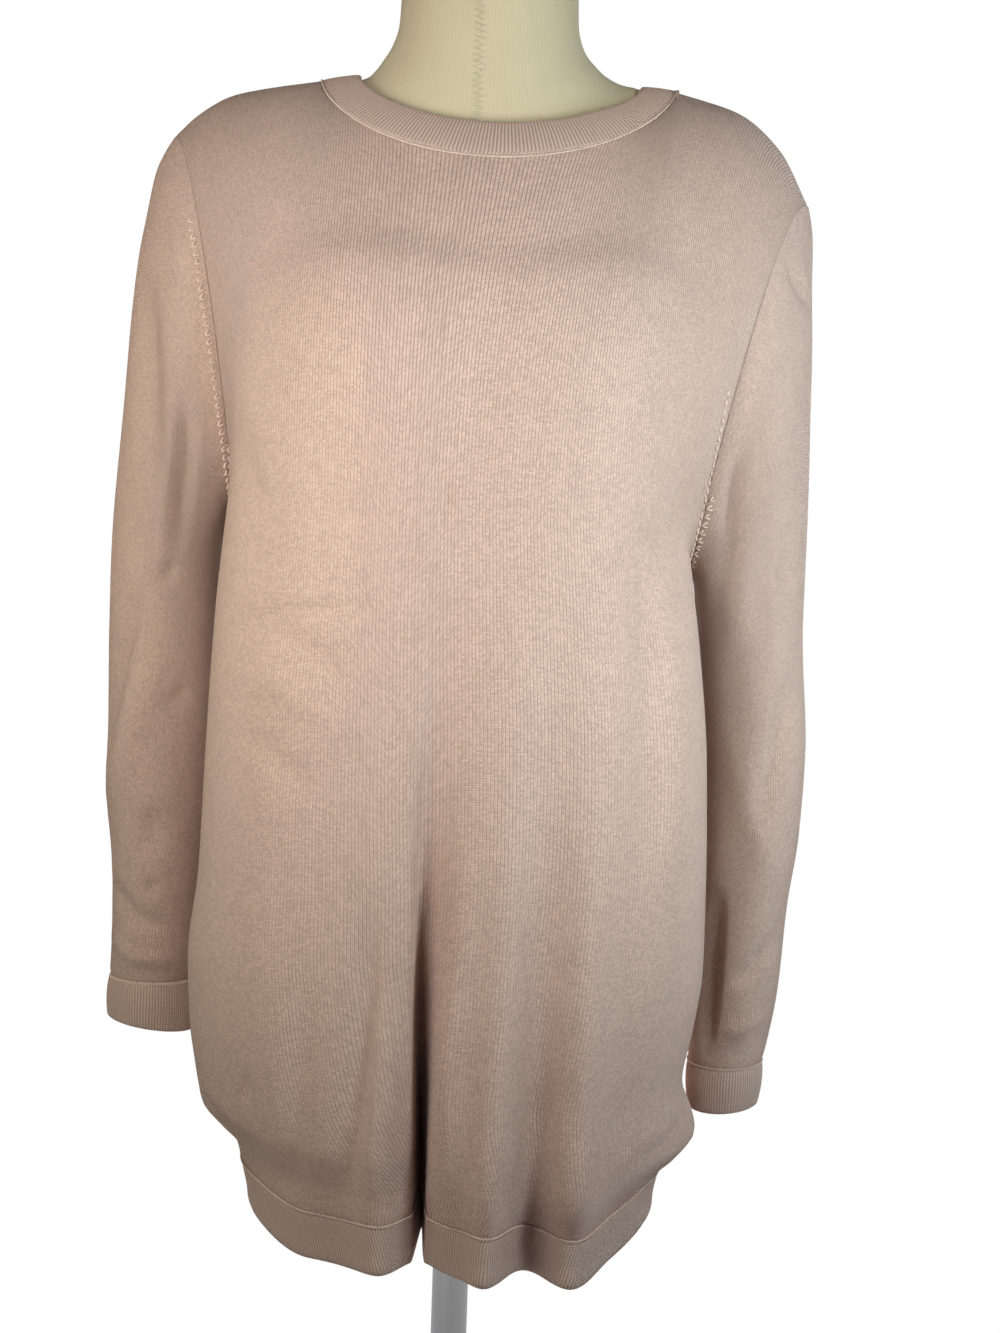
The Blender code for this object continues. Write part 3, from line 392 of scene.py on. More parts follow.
# a smooth mesh with a UV map "weave", in metres on the jersey and in ribs across the ribbed pieces; rim
# quads that close to a point become triangles
def meshFrom(name, verts, faces, uvs, faceUvs):
    mesh = bpy.data.meshes.new(name)
    polygons, corners = [], []
    for k, face in enumerate(faces.tolist()):
        keep = [i for i, corner in enumerate(face) if corner != face[i - 1]]
        polygons.append([face[i] for i in keep])
        corners.extend(faceUvs[k][i] for i in keep)
    mesh.from_pydata(verts.tolist(), [], polygons)
    layer = mesh.uv_layers.new(name="weave")
    layer.data.foreach_set("uv", uvs[np.array(corners)].ravel())
    form = bmesh.new()
    form.from_mesh(mesh)
    bmesh.ops.recalc_face_normals(form, faces=form.faces)
    form.to_mesh(mesh)
    form.free()
    mesh.shade_smooth()
    mesh.set_sharp_from_angle(angle=math.radians(60.0))
    thing = bpy.data.objects.new(name, mesh)
    bpy.context.scene.collection.objects.link(thing)
    return thing


# soft creases, listed one by one: each is a line of (x, height) points on the piece, a reach that is positive
# for a ridge and negative for a trough, and a width; they fade out at both ends
def creaseRelief(creases, x, height):
    total = np.zeros(np.broadcast(x, height).shape)
    for crease in creases:
        line = np.array(crease["line"], float)
        lengths = np.linalg.norm(np.diff(line, axis=0), axis=1)
        ends = np.concatenate(([0.0], np.cumsum(lengths)))
        nearest = np.full(total.shape, 1e9)
        run = np.zeros(total.shape)
        for k in range(len(line) - 1):
            way = line[k + 1] - line[k]
            t = np.clip(((x - line[k, 0]) * way[0] + (height - line[k, 1]) * way[1]) / (way @ way), 0.0, 1.0)
            off = np.hypot(x - line[k, 0] - t * way[0], height - line[k, 1] - t * way[1])
            closer = off < nearest
            nearest = np.where(closer, off, nearest)
            run = np.where(closer, (ends[k] + t * lengths[k]) / ends[-1], run)
        fade = np.sin(np.pi * np.clip(run, 0.02, 0.98)) ** 0.7
        total += crease["reach"] * fade * bell(nearest, crease["width"])
    return total


# broad, faint unevenness, longer down the cloth than across it
def slackRelief(x, height, reach, seed):
    waves = np.random.RandomState(seed)
    total = np.zeros(np.broadcast(x, height).shape)
    for _ in range(14):
        acrossWave, downWave = waves.uniform(25.0, 120.0), waves.uniform(-35.0, 35.0)
        strength = waves.uniform(0.4, 1.0)
        total += strength * np.sin(acrossWave * x + downWave * height + waves.uniform(0.0, 6.3))
    return reach * total / 3.5


# the two panels: seams sink a little, creases and slack are added along the cloth's own normals
frontPanel = {
    "columns": (54, 120),       # in each shoulder part, and under the neckline
    "slack": 0.0006,
    "creases": [
        {"line": [(-0.0205, 1.1180), (-0.0150, 1.0950), (-0.0180, 1.0680)],
         "reach": -0.0034, "width": 0.0045},
        {"line": [(-0.1420, 1.0150), (-0.1050, 1.0210), (-0.0500, 1.0260)],
         "reach": -0.0034, "width": 0.0045},
        {"line": [(-0.1319, 0.728), (-0.1325, 0.716), (-0.1315, 0.704)], "reach": -0.0032, "width": 0.0032},
        {"line": [(-0.0470, 1.0440), (-0.0345, 1.0460), (-0.0240, 1.0450)],
         "reach": -0.0014, "width": 0.0045},
        {"line": [(-0.1500, 1.0180), (-0.1150, 1.0060), (-0.0750, 0.9800)],
         "reach": -0.0023, "width": 0.0090},
        {"line": [(-0.1560, 0.9900), (-0.1200, 0.9750), (-0.0650, 0.9420)], "reach": 0.0020, "width": 0.0100},
        {"line": [(-0.1600, 0.9500), (-0.1250, 0.9330), (-0.0850, 0.9020)],
         "reach": -0.0017, "width": 0.0090},
        {"line": [(0.1118, 1.0900), (0.1150, 0.9700), (0.1180, 0.8500)], "reach": -0.0043, "width": 0.0110},
        {"line": [(0.1340, 1.0300), (0.1380, 0.9500), (0.1370, 0.8600)], "reach": 0.0043, "width": 0.0100},
        {"line": [(-0.0540, 0.8400), (-0.0540, 0.7800), (-0.0640, 0.6600)],
         "reach": -0.0087, "width": 0.0095},
        {"line": [(-0.0920, 0.7900), (-0.0960, 0.7300), (-0.0980, 0.6500)],
         "reach": -0.0043, "width": 0.0110},
        {"line": [(-0.1560, 1.1500), (-0.1480, 1.1150), (-0.1300, 1.0750)],
         "reach": -0.0043, "width": 0.0090},
        {"line": [(0.1380, 1.1250), (0.1330, 1.0950), (0.1200, 1.0600)], "reach": -0.0041, "width": 0.0090},
        {"line": [(-0.1700, 0.7000), (-0.1480, 0.6820), (-0.1250, 0.6760)],
         "reach": -0.0043, "width": 0.0060},
        {"line": [(0.1620, 0.7000), (0.1400, 0.6800), (0.1180, 0.6740)], "reach": -0.0043, "width": 0.0060},
    ],
}
backPanel = {
    "columns": (36, 94),
    "slack": 0.0009,
    "creases": [
        {"line": [(-0.1500, 1.0300), (-0.1050, 1.0120), (-0.0550, 0.9900)],
         "reach": -0.0022, "width": 0.0100},
        {"line": [(0.1400, 1.0000), (0.1000, 0.9850), (0.0600, 0.9620)], "reach": -0.0020, "width": 0.0100},
        {"line": [(-0.1400, 1.2700), (-0.1180, 1.2200), (-0.1080, 1.1500)],
         "reach": -0.0030, "width": 0.0110},
        {"line": [(0.1450, 1.2500), (0.1220, 1.2000), (0.1120, 1.1300)], "reach": -0.0030, "width": 0.0110},
        {"line": [(-0.0600, 0.8800), (-0.0660, 0.7800), (-0.0640, 0.6700)],
         "reach": -0.0035, "width": 0.0120},
        {"line": [(0.1150, 0.9400), (0.1180, 0.8300), (0.1160, 0.7000)], "reach": 0.0035, "width": 0.0120},
        {"line": [(-0.0400, 1.3300), (0.0050, 1.3230), (0.0520, 1.3300)], "reach": 0.0016, "width": 0.0100},
    ],
}


def seamDip(distance):
    return -sweater["seamDip"] * bell(distance, sweater["seamWidth"])


def makePanel(name, facing, piece):
    grid = panelGrid(facing, *piece["columns"])
    points = grid["points"]
    normals = gridNormals(points, False, -facing)
    across, up = runLength(points, 1), runLength(points, 0)
    x, z = points[..., 0], points[..., 2]
    relief = creaseRelief(piece["creases"], x, z) + slackRelief(x, z, piece["slack"], 5 - facing)
    edge = np.minimum(across, across[:, -1:] - across)
    relief *= easeOff(edge / 0.012) * easeOff(up / 0.008) * easeOff((up[-1:] - up) / 0.020)
    relief += sweater["armholeDip"] * seamDip(edge) + seamDip(up[-1:] - up) + seamDip(up)
    moved = points + normals * relief[..., None]
    grid["base"] = points
    grid["points"] = moved
    grid["normals"] = gridNormals(moved, False, -facing)
    u = np.broadcast_to(grid["place"] * grid["width"], x.shape)
    thing = clothShell(name, moved, grid["normals"], False, sweater["wall"], (u, up))
    return thing, grid


sleeveSections = {
    "left": {
        "row": list(range(11)),
        "outerX": [-0.2190, -0.2312, -0.2380, -0.2455, -0.2520, -0.2575, -0.2595, -0.2575, -0.2525,
                   -0.2515, -0.2525],
        "outerZ": [1.3516, 1.3300, 1.2920, 1.2350, 1.1500, 1.0500, 0.9650, 0.9000, 0.8400, 0.7950, 0.7620],
        "innerX": [-0.1690, -0.1750, -0.1780, -0.1785, -0.1785, -0.1790, -0.1800, -0.1822, -0.1862,
                   -0.1885, -0.1905],
        "innerZ": [1.1050, 1.0880, 1.0680, 1.0430, 1.0080, 0.9620, 0.9120, 0.8680, 0.8250, 0.7900, 0.7600],
        "middle": [0.0055, 0.0080, 0.0120, 0.0180, 0.0250, 0.0300, 0.0340, 0.0370, 0.0400, 0.0410, 0.0420],
        "halfDepth": [0.0695, 0.0690, 0.0670, 0.0650, 0.0630, 0.0600, 0.0570, 0.0540, 0.0490, 0.0440, 0.0395],
    },
    "right": {
        "row": list(range(11)),
        "outerX": [0.2275, 0.2308, 0.2328, 0.2352, 0.2358, 0.2357, 0.2400, 0.2388, 0.2325, 0.2262, 0.2180],
        "outerZ": [1.3180, 1.2980, 1.2600, 1.2050, 1.1300, 1.0300, 0.9400, 0.8800, 0.8250, 0.7650, 0.7160],
        "innerX": [0.1500, 0.1555, 0.1580, 0.1605, 0.1638, 0.1672, 0.1690, 0.1702, 0.1705, 0.1690, 0.1650],
        "innerZ": [1.0680, 1.0530, 1.0330, 1.0050, 0.9720, 0.9250, 0.8800, 0.8380, 0.7950, 0.7500, 0.7130],
        "middle": [0.0055, 0.0080, 0.0120, 0.0180, 0.0240, 0.0280, 0.0310, 0.0330, 0.0340, 0.0340, 0.0340],
        "halfDepth": [0.0695, 0.0690, 0.0670, 0.0650, 0.0630, 0.0600, 0.0570, 0.0540, 0.0490, 0.0440, 0.0390],
    },
}
cuffEnds = {
    "left": {"outerX": -0.2535, "outerZ": 0.7330, "innerX": -0.1905, "innerZ": 0.7235, "middle": 0.0420,
             "halfDepth": 0.0370},
    "right": {"outerX": 0.2155, "outerZ": 0.6860, "innerX": 0.1660, "innerZ": 0.6800, "middle": 0.0340,
              "halfDepth": 0.0360},
}
sleeve = {
    "rings": 150,
    "head": 3.0,                # over how many sections the sleeve leaves the armhole's shape
    "clear": 0.0030,            # least room between a sleeve and the body beside it
    "clearFrom": 1.5,
    "gap": 0.00012,
    "slack": 0.0011,
    "creases": {
        "left": {
            "front": [
                {"line": [(-0.2330, 1.2560), (-0.2270, 1.2120), (-0.2230, 1.1680), (-0.2160, 1.1050)],
                 "reach": -0.0092, "width": 0.0100},
                {"line": [(-0.1950, 1.1600), (-0.1960, 1.1250), (-0.1990, 1.0800), (-0.2030, 1.0550)],
                 "reach": -0.0088, "width": 0.0062},
                {"line": [(-0.2005, 1.0520), (-0.2130, 1.0420)], "reach": -0.0046, "width": 0.0045},
                {"line": [(-0.2260, 1.0350), (-0.2450, 0.9850), (-0.2580, 0.9250)], "reach": -0.0082,
                 "width": 0.0080},
                {"line": [(-0.2080, 1.0000), (-0.2330, 0.9350), (-0.2500, 0.8800)], "reach": 0.0047,
                 "width": 0.0110},
                {"line": [(-0.1930, 0.9700), (-0.2060, 0.9540)], "reach": -0.0030, "width": 0.0050},
                {"line": [(-0.2170, 0.8850), (-0.2160, 0.8500)], "reach": -0.0046, "width": 0.0090},
                {"line": [(-0.2110, 0.8330), (-0.2200, 0.8250)], "reach": -0.0024, "width": 0.0040},
                {"line": [(-0.2480, 0.8300), (-0.2300, 0.8080), (-0.2050, 0.7980)], "reach": -0.0043,
                 "width": 0.0060},
                {"line": [(-0.2480, 0.7900), (-0.2270, 0.7780), (-0.2000, 0.7760)], "reach": 0.0032,
                 "width": 0.0060},
            ],
            "back": [
                {"line": [(-0.2300, 1.2450), (-0.2210, 1.1900), (-0.2120, 1.1200)], "reach": -0.0082,
                 "width": 0.0100},
                {"line": [(-0.2050, 1.0300), (-0.2270, 0.9800), (-0.2500, 0.9400)], "reach": -0.0082,
                 "width": 0.0085},
                {"line": [(-0.1980, 0.9300), (-0.2200, 0.8950), (-0.2430, 0.8700)], "reach": -0.0073,
                 "width": 0.0080},
                {"line": [(-0.2450, 0.8250), (-0.2200, 0.8050), (-0.1990, 0.7960)], "reach": -0.0051,
                 "width": 0.0060},
            ],
        },
        "right": {
            "front": [
                {"line": [(0.2090, 1.2700), (0.2180, 1.2570), (0.2260, 1.2450)],
                 "reach": -0.0055, "width": 0.0050},
                {"line": [(0.1780, 1.1400), (0.1730, 1.1050), (0.1720, 1.0600)],
                 "reach": -0.0073, "width": 0.0060},
                {"line": [(0.1880, 1.0950), (0.1830, 1.0500), (0.1840, 1.0000)],
                 "reach": 0.0046, "width": 0.0090},
                {"line": [(0.2080, 1.0650), (0.2200, 1.0500)], "reach": -0.0043, "width": 0.0045},
                {"line": [(0.2240, 0.9900), (0.2130, 0.9300), (0.1990, 0.8800)], "reach": -0.0069,
                 "width": 0.0085},
                {"line": [(0.1850, 0.9500), (0.1960, 0.9000), (0.2120, 0.8500)],
                 "reach": 0.0036, "width": 0.0100},
                {"line": [(0.1790, 0.8350), (0.1770, 0.7900), (0.1740, 0.7250)], "reach": -0.0109,
                 "width": 0.0050},
                {"line": [(0.2200, 0.8100), (0.2040, 0.7850), (0.1880, 0.7750)], "reach": -0.0047,
                 "width": 0.0060},
                {"line": [(0.2130, 0.7550), (0.1980, 0.7420), (0.1840, 0.7400)],
                 "reach": 0.0032, "width": 0.0060},
            ],
            "back": [
                {"line": [(0.2150, 1.2100), (0.2050, 1.1600), (0.1980, 1.1000)],
                 "reach": -0.0082, "width": 0.0100},
                {"line": [(0.1900, 0.9900), (0.2080, 0.9450), (0.2280, 0.9100)],
                 "reach": -0.0082, "width": 0.0085},
                {"line": [(0.1860, 0.8900), (0.2010, 0.8550), (0.2200, 0.8300)],
                 "reach": -0.0069, "width": 0.0080},
                {"line": [(0.2170, 0.7850), (0.1990, 0.7680), (0.1830, 0.7620)],
                 "reach": -0.0047, "width": 0.0060},
            ],
        },
    },
}


# points round a sleeve section; t runs 0 at its inner point to 1 at its outer point
def sectionPoints(part, t, facing):
    rise = t * t * (3.0 - 2.0 * t)
    bow = 2.0 * np.sqrt(np.maximum(rise * (1.0 - rise), 0.0))
    return triples(mix(part["innerX"], part["outerX"], rise),
                   part["middle"] + facing * part["halfDepth"] * bow,
                   mix(part["innerZ"], part["outerZ"], rise))


# keeps sleeve points beside the body's level section at their height
def clearOfBody(points, side, clear):
    top = bodyLevels["height"][-1]
    height = np.clip(points[..., 2], sweater["hemSeam"], top)
    left, right, power, front, back = (along(bodyLevels, "height", name, height)
                                       for name in ("left", "right", "power", "front", "back"))
    depth = np.where(points[..., 1] < 0.0, front, back)
    reach = (right - left) / 2.0 * rounded(np.minimum(np.abs(points[..., 1] / depth), 1.0), power)
    middle = (left + right) / 2.0
    kept = points.copy()
    if side == "left":
        kept[..., 0] = np.minimum(points[..., 0], middle - reach - clear)
    else:
        kept[..., 0] = np.maximum(points[..., 0], middle + reach + clear)
    return np.where((points[..., 2] < top)[..., None], kept, points)


def sleevePlaces(count):
    t = np.concatenate((np.arange(count + 1) / count, np.arange(count - 1, 0, -1) / count))
    facing = np.concatenate((-np.ones(count + 1), np.ones(count - 1)))
    return t, facing


def armholeSeam(panels, side, t, facing):
    column, beside = (0, 1) if side == "left" else (-1, -2)
    points, ways = [], []
    for place, face in zip(t, facing):
        rows = panels[int(face)]["base"]
        row = panels[int(face)]["below"] + int(round(place * sweater["yokeRows"]))
        points.append(rows[row, column])
        ways.append(rows[row, column] - rows[row, beside])
    points, ways = np.array(points), unit(np.array(ways))
    points[(t == 0.0) | (t == 1.0), 1] = 0.0
    sideways = triples(-1.0 if side == "left" else 1.0, 0.0 * t, 0.0)
    return points, unit(mix(sideways, ways, easeOff((t - 0.1) / 0.3)[:, None]))


def makeSleeve(name, side, panels):
    sections = sleeveSections[side]
    t, facing = sleevePlaces(sweater["yokeRows"] // 2)
    seam, ways = armholeSeam(panels, side, t, facing)
    first = {key: sections[key][0] for key in sections}
    bows = seam - sectionPoints(first, t, facing)
    place = (len(sections["row"]) - 1) * (np.arange(sleeve["rings"] + 1) / sleeve["rings"]) ** 1.05
    part = {key: along(sections, "row", key, place)[:, None] for key in sections if key != "row"}
    points = sectionPoints(part, t[None], facing[None])
    points = points + bows[None] * easeOff(1.0 - place / sleeve["head"])[:, None, None]
    points = clearOfBody(points, side, (sleeve["clear"] * easeOff(place / sleeve["clearFrom"]))[:, None])
    points[0] = seam + ways * sleeve["gap"]
    outward = 1.0 if side == "left" else -1.0
    normals = gridNormals(points, True, outward)
    down = runLength(points, 0)
    x, z = points[..., 0], points[..., 2]
    creases = sleeve["creases"][side]
    frontSide = easeOff(-(facing * np.sin(np.pi * t))[None] * 2.0)
    backSide = easeOff((facing * np.sin(np.pi * t))[None] * 2.0)
    relief = creaseRelief(creases["front"], x, z) * frontSide + creaseRelief(creases["back"], x, z) * backSide
    relief += slackRelief(x + facing[None] * 0.3, z, sleeve["slack"], 11 if side == "left" else 12)
    relief *= easeOff(down / 0.020) * easeOff((down[-1:] - down) / 0.012)
    relief += sweater["armholeDip"] * seamDip(down) + seamDip(down[-1:] - down)
    moved = points + normals * relief[..., None]
    moved = clearOfBody(moved, side, 0.0012 * easeOff(place / sleeve["clearFrom"])[:, None])
    half = sweater["yokeRows"] // 2
    ring = np.concatenate((moved, moved[:, :1]), axis=1)
    run = runLength(ring, 1)
    u = run - run[:, half:half + 1]
    up = (down[-1:] - down)
    v = np.concatenate((up, up[:, :1]), axis=1)
    normals = gridNormals(moved, True, outward)
    shell = clothShell(name, moved, normals, True, sweater["wall"], (u, v))
    return shell, {"points": moved, "normals": normals}


# ribbing: columns of rib knit with real depth, evenly spaced round each band; pitch is from rib to rib, and
# perRib is how many columns of the grid make one rib
neckband = {
    "rows": 16, "pitch": 0.0024, "perRib": 6, "ribDepth": 0.00036, "wall": 0.0022,
    "bulge": 0.0011, "standOff": 0.0004,
    "rightDrop": 0.0022, "dropFrom": 0.070, "dropOver": 0.035,     # its upper edge falls on the right
    "seamGap": 0.0004,
}
hemBand = {"rows": 12, "pitch": 0.0020, "perRib": 5, "ribDepth": 0.00022, "flare": 0.0010,
           "edgeRoom": 0.0004}
cuff = {"rows": 18, "pitch": 0.0020, "perRib": 5, "ribDepth": 0.00022, "puff": 0.0012}


# rounded ribs with narrow grooves between
def ribRelief(place, count, depth):
    return depth * (np.abs(np.cos(place * count * np.pi)) ** 0.8 * 2.0 - 1.2)


def evenly(line, fine, count, closed):
    run = runLength(line, 0)
    steps = np.linspace(0.0, run[-1], count + 1)
    return np.interp(steps[:-1] if closed else steps, run, fine)


# one value per point round a ring: 0 to 1 along its front, 1 to 2 back along its back
def ringSides(s):
    return np.where(s <= 1.0, s, 2.0 - s), np.where(s <= 1.0, -1.0, 1.0)


def makeNeckband():
    def loopPoints(loop, s):
        t, facing = ringSides(s)
        share = 2.0 * t - 1.0
        front, back = collarLoop(loop, share, -1), collarLoop(loop, share, 1)
        points = np.where((facing < 0.0)[:, None], front, back)
        points[:, 1] += facing * sweater["seamGap"] / 2.0 * easeOff(np.sin(np.pi * t) * 8.0)
        return points

    fine = np.linspace(0.0, 2.0, 4001)
    middle = (loopPoints(neckline, fine) + loopPoints(bandEdge, fine)) / 2.0
    count = int(round(runLength(middle, 0)[-1] / neckband["pitch"]))
    s = evenly(middle, fine, count * neckband["perRib"], True)
    seam, inner = loopPoints(neckline, s), loopPoints(bandEdge, s)
    atRight = easeOff((inner[:, 0] - neckband["dropFrom"]) / neckband["dropOver"])
    inner[:, 2] -= neckband["rightDrop"] * atRight
    way = unit(inner - seam)
    start = seam + way * neckband["seamGap"]
    t = np.linspace(0.0, 1.0, neckband["rows"])[:, None, None]
    points = mix(start[None], inner[None], t)
    normals = gridNormals(points, True, 1.0)
    place = np.arange(len(s)) / len(s)
    shape = t[..., 0]
    ends = easeOff(shape / 0.14) * easeOff((1.0 - shape) / 0.10)
    beside = np.abs(points[..., 1]) / 0.045
    relief = neckband["standOff"] + neckband["bulge"] * np.sin(np.pi * shape) ** 0.8 * easeOff(0.35 + beside)
    relief = relief + ribRelief(place, count, neckband["ribDepth"])[None] * ends
    moved = points + normals * relief[..., None]
    down = runLength(moved, 0)
    v = np.concatenate((down, down[:, :1]), axis=1)
    u = np.broadcast_to(np.append(place, 1.0) * count, v.shape)
    return clothShell("neckband_cloth", moved, normals, True, neckband["wall"], (u, v), (False, True))


def makeHemBand(name, facing):
    fine = np.linspace(-1.0, 1.0, 3001)
    width = runLength(bodyPoint(fine, sweater["hemSeam"], facing), 0)[-1]
    count = int(round(width / hemBand["pitch"]))
    place = np.linspace(0.0, 1.0, count * hemBand["perRib"] + 1)
    rows = []
    heights = np.linspace(sweater["hemBottom"] + hemBand["edgeRoom"], sweater["hemSeam"] - sweater["seamGap"],
                          hemBand["rows"])
    for height in heights:
        line = runLength(bodyPoint(fine, height, facing), 0)
        rows.append(bodyPoint(np.interp(place, line / line[-1], fine), height, facing))
    points = np.array(rows)
    points[..., 1] += facing * sweater["seamGap"] / 2.0
    normals = gridNormals(points, False, -facing)
    up = runLength(points, 0)
    across = runLength(points, 1)
    edge = np.minimum(across, across[:, -1:] - across)
    ends = easeOff(up / 0.003) * easeOff((up[-1:] - up) / 0.003) * easeOff(edge / 0.003)
    relief = (ribRelief(place, count, hemBand["ribDepth"])[None] * ends
              + hemBand["flare"] * bell(up - 0.004, 0.006))
    relief += seamDip(edge) + seamDip(up[-1:] - up)
    moved = points + normals * relief[..., None]
    u = np.broadcast_to(place * count, up.shape)
    shell = clothShell(name, moved, normals, False, sweater["ribWall"], (u, up), (True, False))
    return shell, {"points": moved, "normals": normals}


def makeCuff(name, side):
    sections = sleeveSections[side]
    last = {key: sections[key][-1] for key in sections}

    def ring(part, s):
        t, facing = ringSides(s)
        return sectionPoints(part, t, facing)

    fine = np.linspace(0.0, 2.0, 3001)
    count = int(round(runLength(ring(last, fine), 0)[-1] / cuff["pitch"]))
    s = evenly(ring(last, fine), fine, count * cuff["perRib"], True)
    top = clearOfBody(ring(last, s), side, sleeve["clear"])
    top[:, 2] -= sweater["seamGap"]
    t = np.linspace(0.0, 1.0, cuff["rows"])[:, None, None]
    points = mix(top[None], ring(cuffEnds[side], s)[None], t)
    normals = gridNormals(points, True, 1.0)
    middle = points.mean(axis=1, keepdims=True)
    if np.mean(np.sum(normals * (points - middle), axis=-1)) < 0.0:
        normals = -normals
    place = np.arange(len(s)) / len(s)
    down = t[..., 0]
    ends = easeOff(down / 0.08) * easeOff((1.0 - down) / 0.06)
    relief = ribRelief(place, count, cuff["ribDepth"])[None] * ends + cuff["puff"] * np.sin(np.pi * down)
    relief = relief + seamDip(down * 0.030)
    moved = points + normals * relief[..., None]
    run = runLength(moved, 0)
    v = np.concatenate((run, run[:, :1]), axis=1)
    u = np.broadcast_to(np.append(place, 1.0) * count, v.shape)
    shell = clothShell(name, moved, normals, True, sweater["ribWall"], (u, v), (False, True))
    return shell, {"points": moved, "normals": normals}


# the dress form: a limbless torso with a neck, covered in jersey
form = {
    "inset": 0.0007,
    "height": [0.7350, 0.7480, 0.8200, 0.9100, 1.0100, 1.0865],
    "halfWidth": [0.1440, 0.1490, 0.1520, 0.1380, 0.1140, 0.1230],
    "front": [-0.0950, -0.0990, -0.1020, -0.0960, -0.0850, -0.1000],
    "back": [0.1020, 0.1060, 0.1120, 0.1000, 0.0760, 0.0800],
    "power": 2.2,
    "reach": 0.262, "climb": 0.10, "spread": 0.6,
    "bustX": 0.088, "bustHeight": 1.195, "bustReach": 0.0120, "bustWidth": 0.042, "bustTall": 0.048,
    "shownFrom": 1.392, "shownDrop": 0.050, "shownOver": 0.008,    # where the form comes out of the sweater
}
formNeck = {
    "x": [0.0080, 0.0055, 0.0025, 0.0010, 0.0000, 0.0000, 0.0000, 0.0000],
    "height": [1.3975, 1.3992, 1.4045, 1.4115, 1.4220, 1.4380, 1.4620, 1.4850],
    "halfWidth": [0.0950, 0.0885, 0.0805, 0.0742, 0.0671, 0.0627, 0.0618, 0.0615],
    "front": [-0.0590, -0.0572, -0.0558, -0.0552, -0.0546, -0.0543, -0.0545, -0.0550],
    "back": [0.0600, 0.0597, 0.0593, 0.0588, 0.0580, 0.0575, 0.0572, 0.0570],
    "dropFront": [0.0480, 0.0455, 0.0425, 0.0390, 0.0330, 0.0220, 0.0080, 0.0000],
    "dropBack": [0.0150, 0.0135, 0.0120, 0.0105, 0.0080, 0.0050, 0.0020, 0.0000],
    "square": [0.80, 0.82, 0.85, 0.88, 0.92, 0.96, 1.00, 1.00],
}
formShoulder = {
    "share": [0.00, 0.30, 0.60, 0.84, 0.95, 1.00],
    "x": [0.0850, 0.1154, 0.1500, 0.1770, 0.1870, 0.1900],
    "height": [1.3975, 1.3934, 1.3866, 1.3765, 1.3650, 1.3500],
}


def formRing(share, height, halfWidth, front, back, power, facing):
    across = np.sin(share * np.pi / 2.0)
    depth = front if facing < 0 else back
    return triples(halfWidth * across, depth * rounded(across, power), height)


def formTorso(share, facing):
    rows = []
    heights = np.concatenate(([0.735, 0.738, 0.742, 0.748], np.arange(0.756, 1.0865, 0.0095), [1.0865]))
    for height in heights:
        part = [along(form, "height", name, height) for name in ("halfWidth", "front", "back")]
        rows.append(formRing(share, height, *part, form["power"], facing))
    low = rows[-1]
    split = sweater["neckSplit"]
    out = np.clip((np.abs(share) - split) / (1.0 - split), 0.0, 1.0)
    first, last = formShoulder["x"][0], formShoulder["x"][-1]
    edge = formNeck["x"][0] + np.sign(share) * formNeck["halfWidth"][0]
    part = (along(formShoulder, "share", "x", out) - first) / (last - first)
    ridge = triples(mix(edge, np.sign(share) * last, part), 0.0, along(formShoulder, "share", "height", out))
    base = collarLoop({name: formNeck[name][0] for name in formNeck}, share / split, facing)
    high = np.where((np.abs(share) > split)[:, None], ridge, base)
    leave = triples(0.0 * share, 0.0, yoke["rise"])
    over = triples(form["spread"] * (high[:, 0] - low[:, 0]), -facing * form["reach"] * rounded(share, 3.0),
                   form["climb"])
    upNeck = (base - collarLoop(neckline, share / split, facing)) * yoke["bandLead"]
    upNeck[:, 0] = over[:, 0]
    arrive = mix(upNeck, over, np.minimum(np.abs(share) / split, 1.0)[:, None] ** 4)
    t = (np.arange(1, 45) / 44.0)[:, None, None]
    above = hermite(low[None], high[None], leave[None], arrive[None], t)
    if facing < 0:
        for x in (-form["bustX"], form["bustX"]):
            above[..., 1] -= (form["bustReach"] * bell(above[..., 0] - x, form["bustWidth"])
                              * bell(above[..., 2] - form["bustHeight"], form["bustTall"]))
    return np.concatenate((np.array(rows), above))


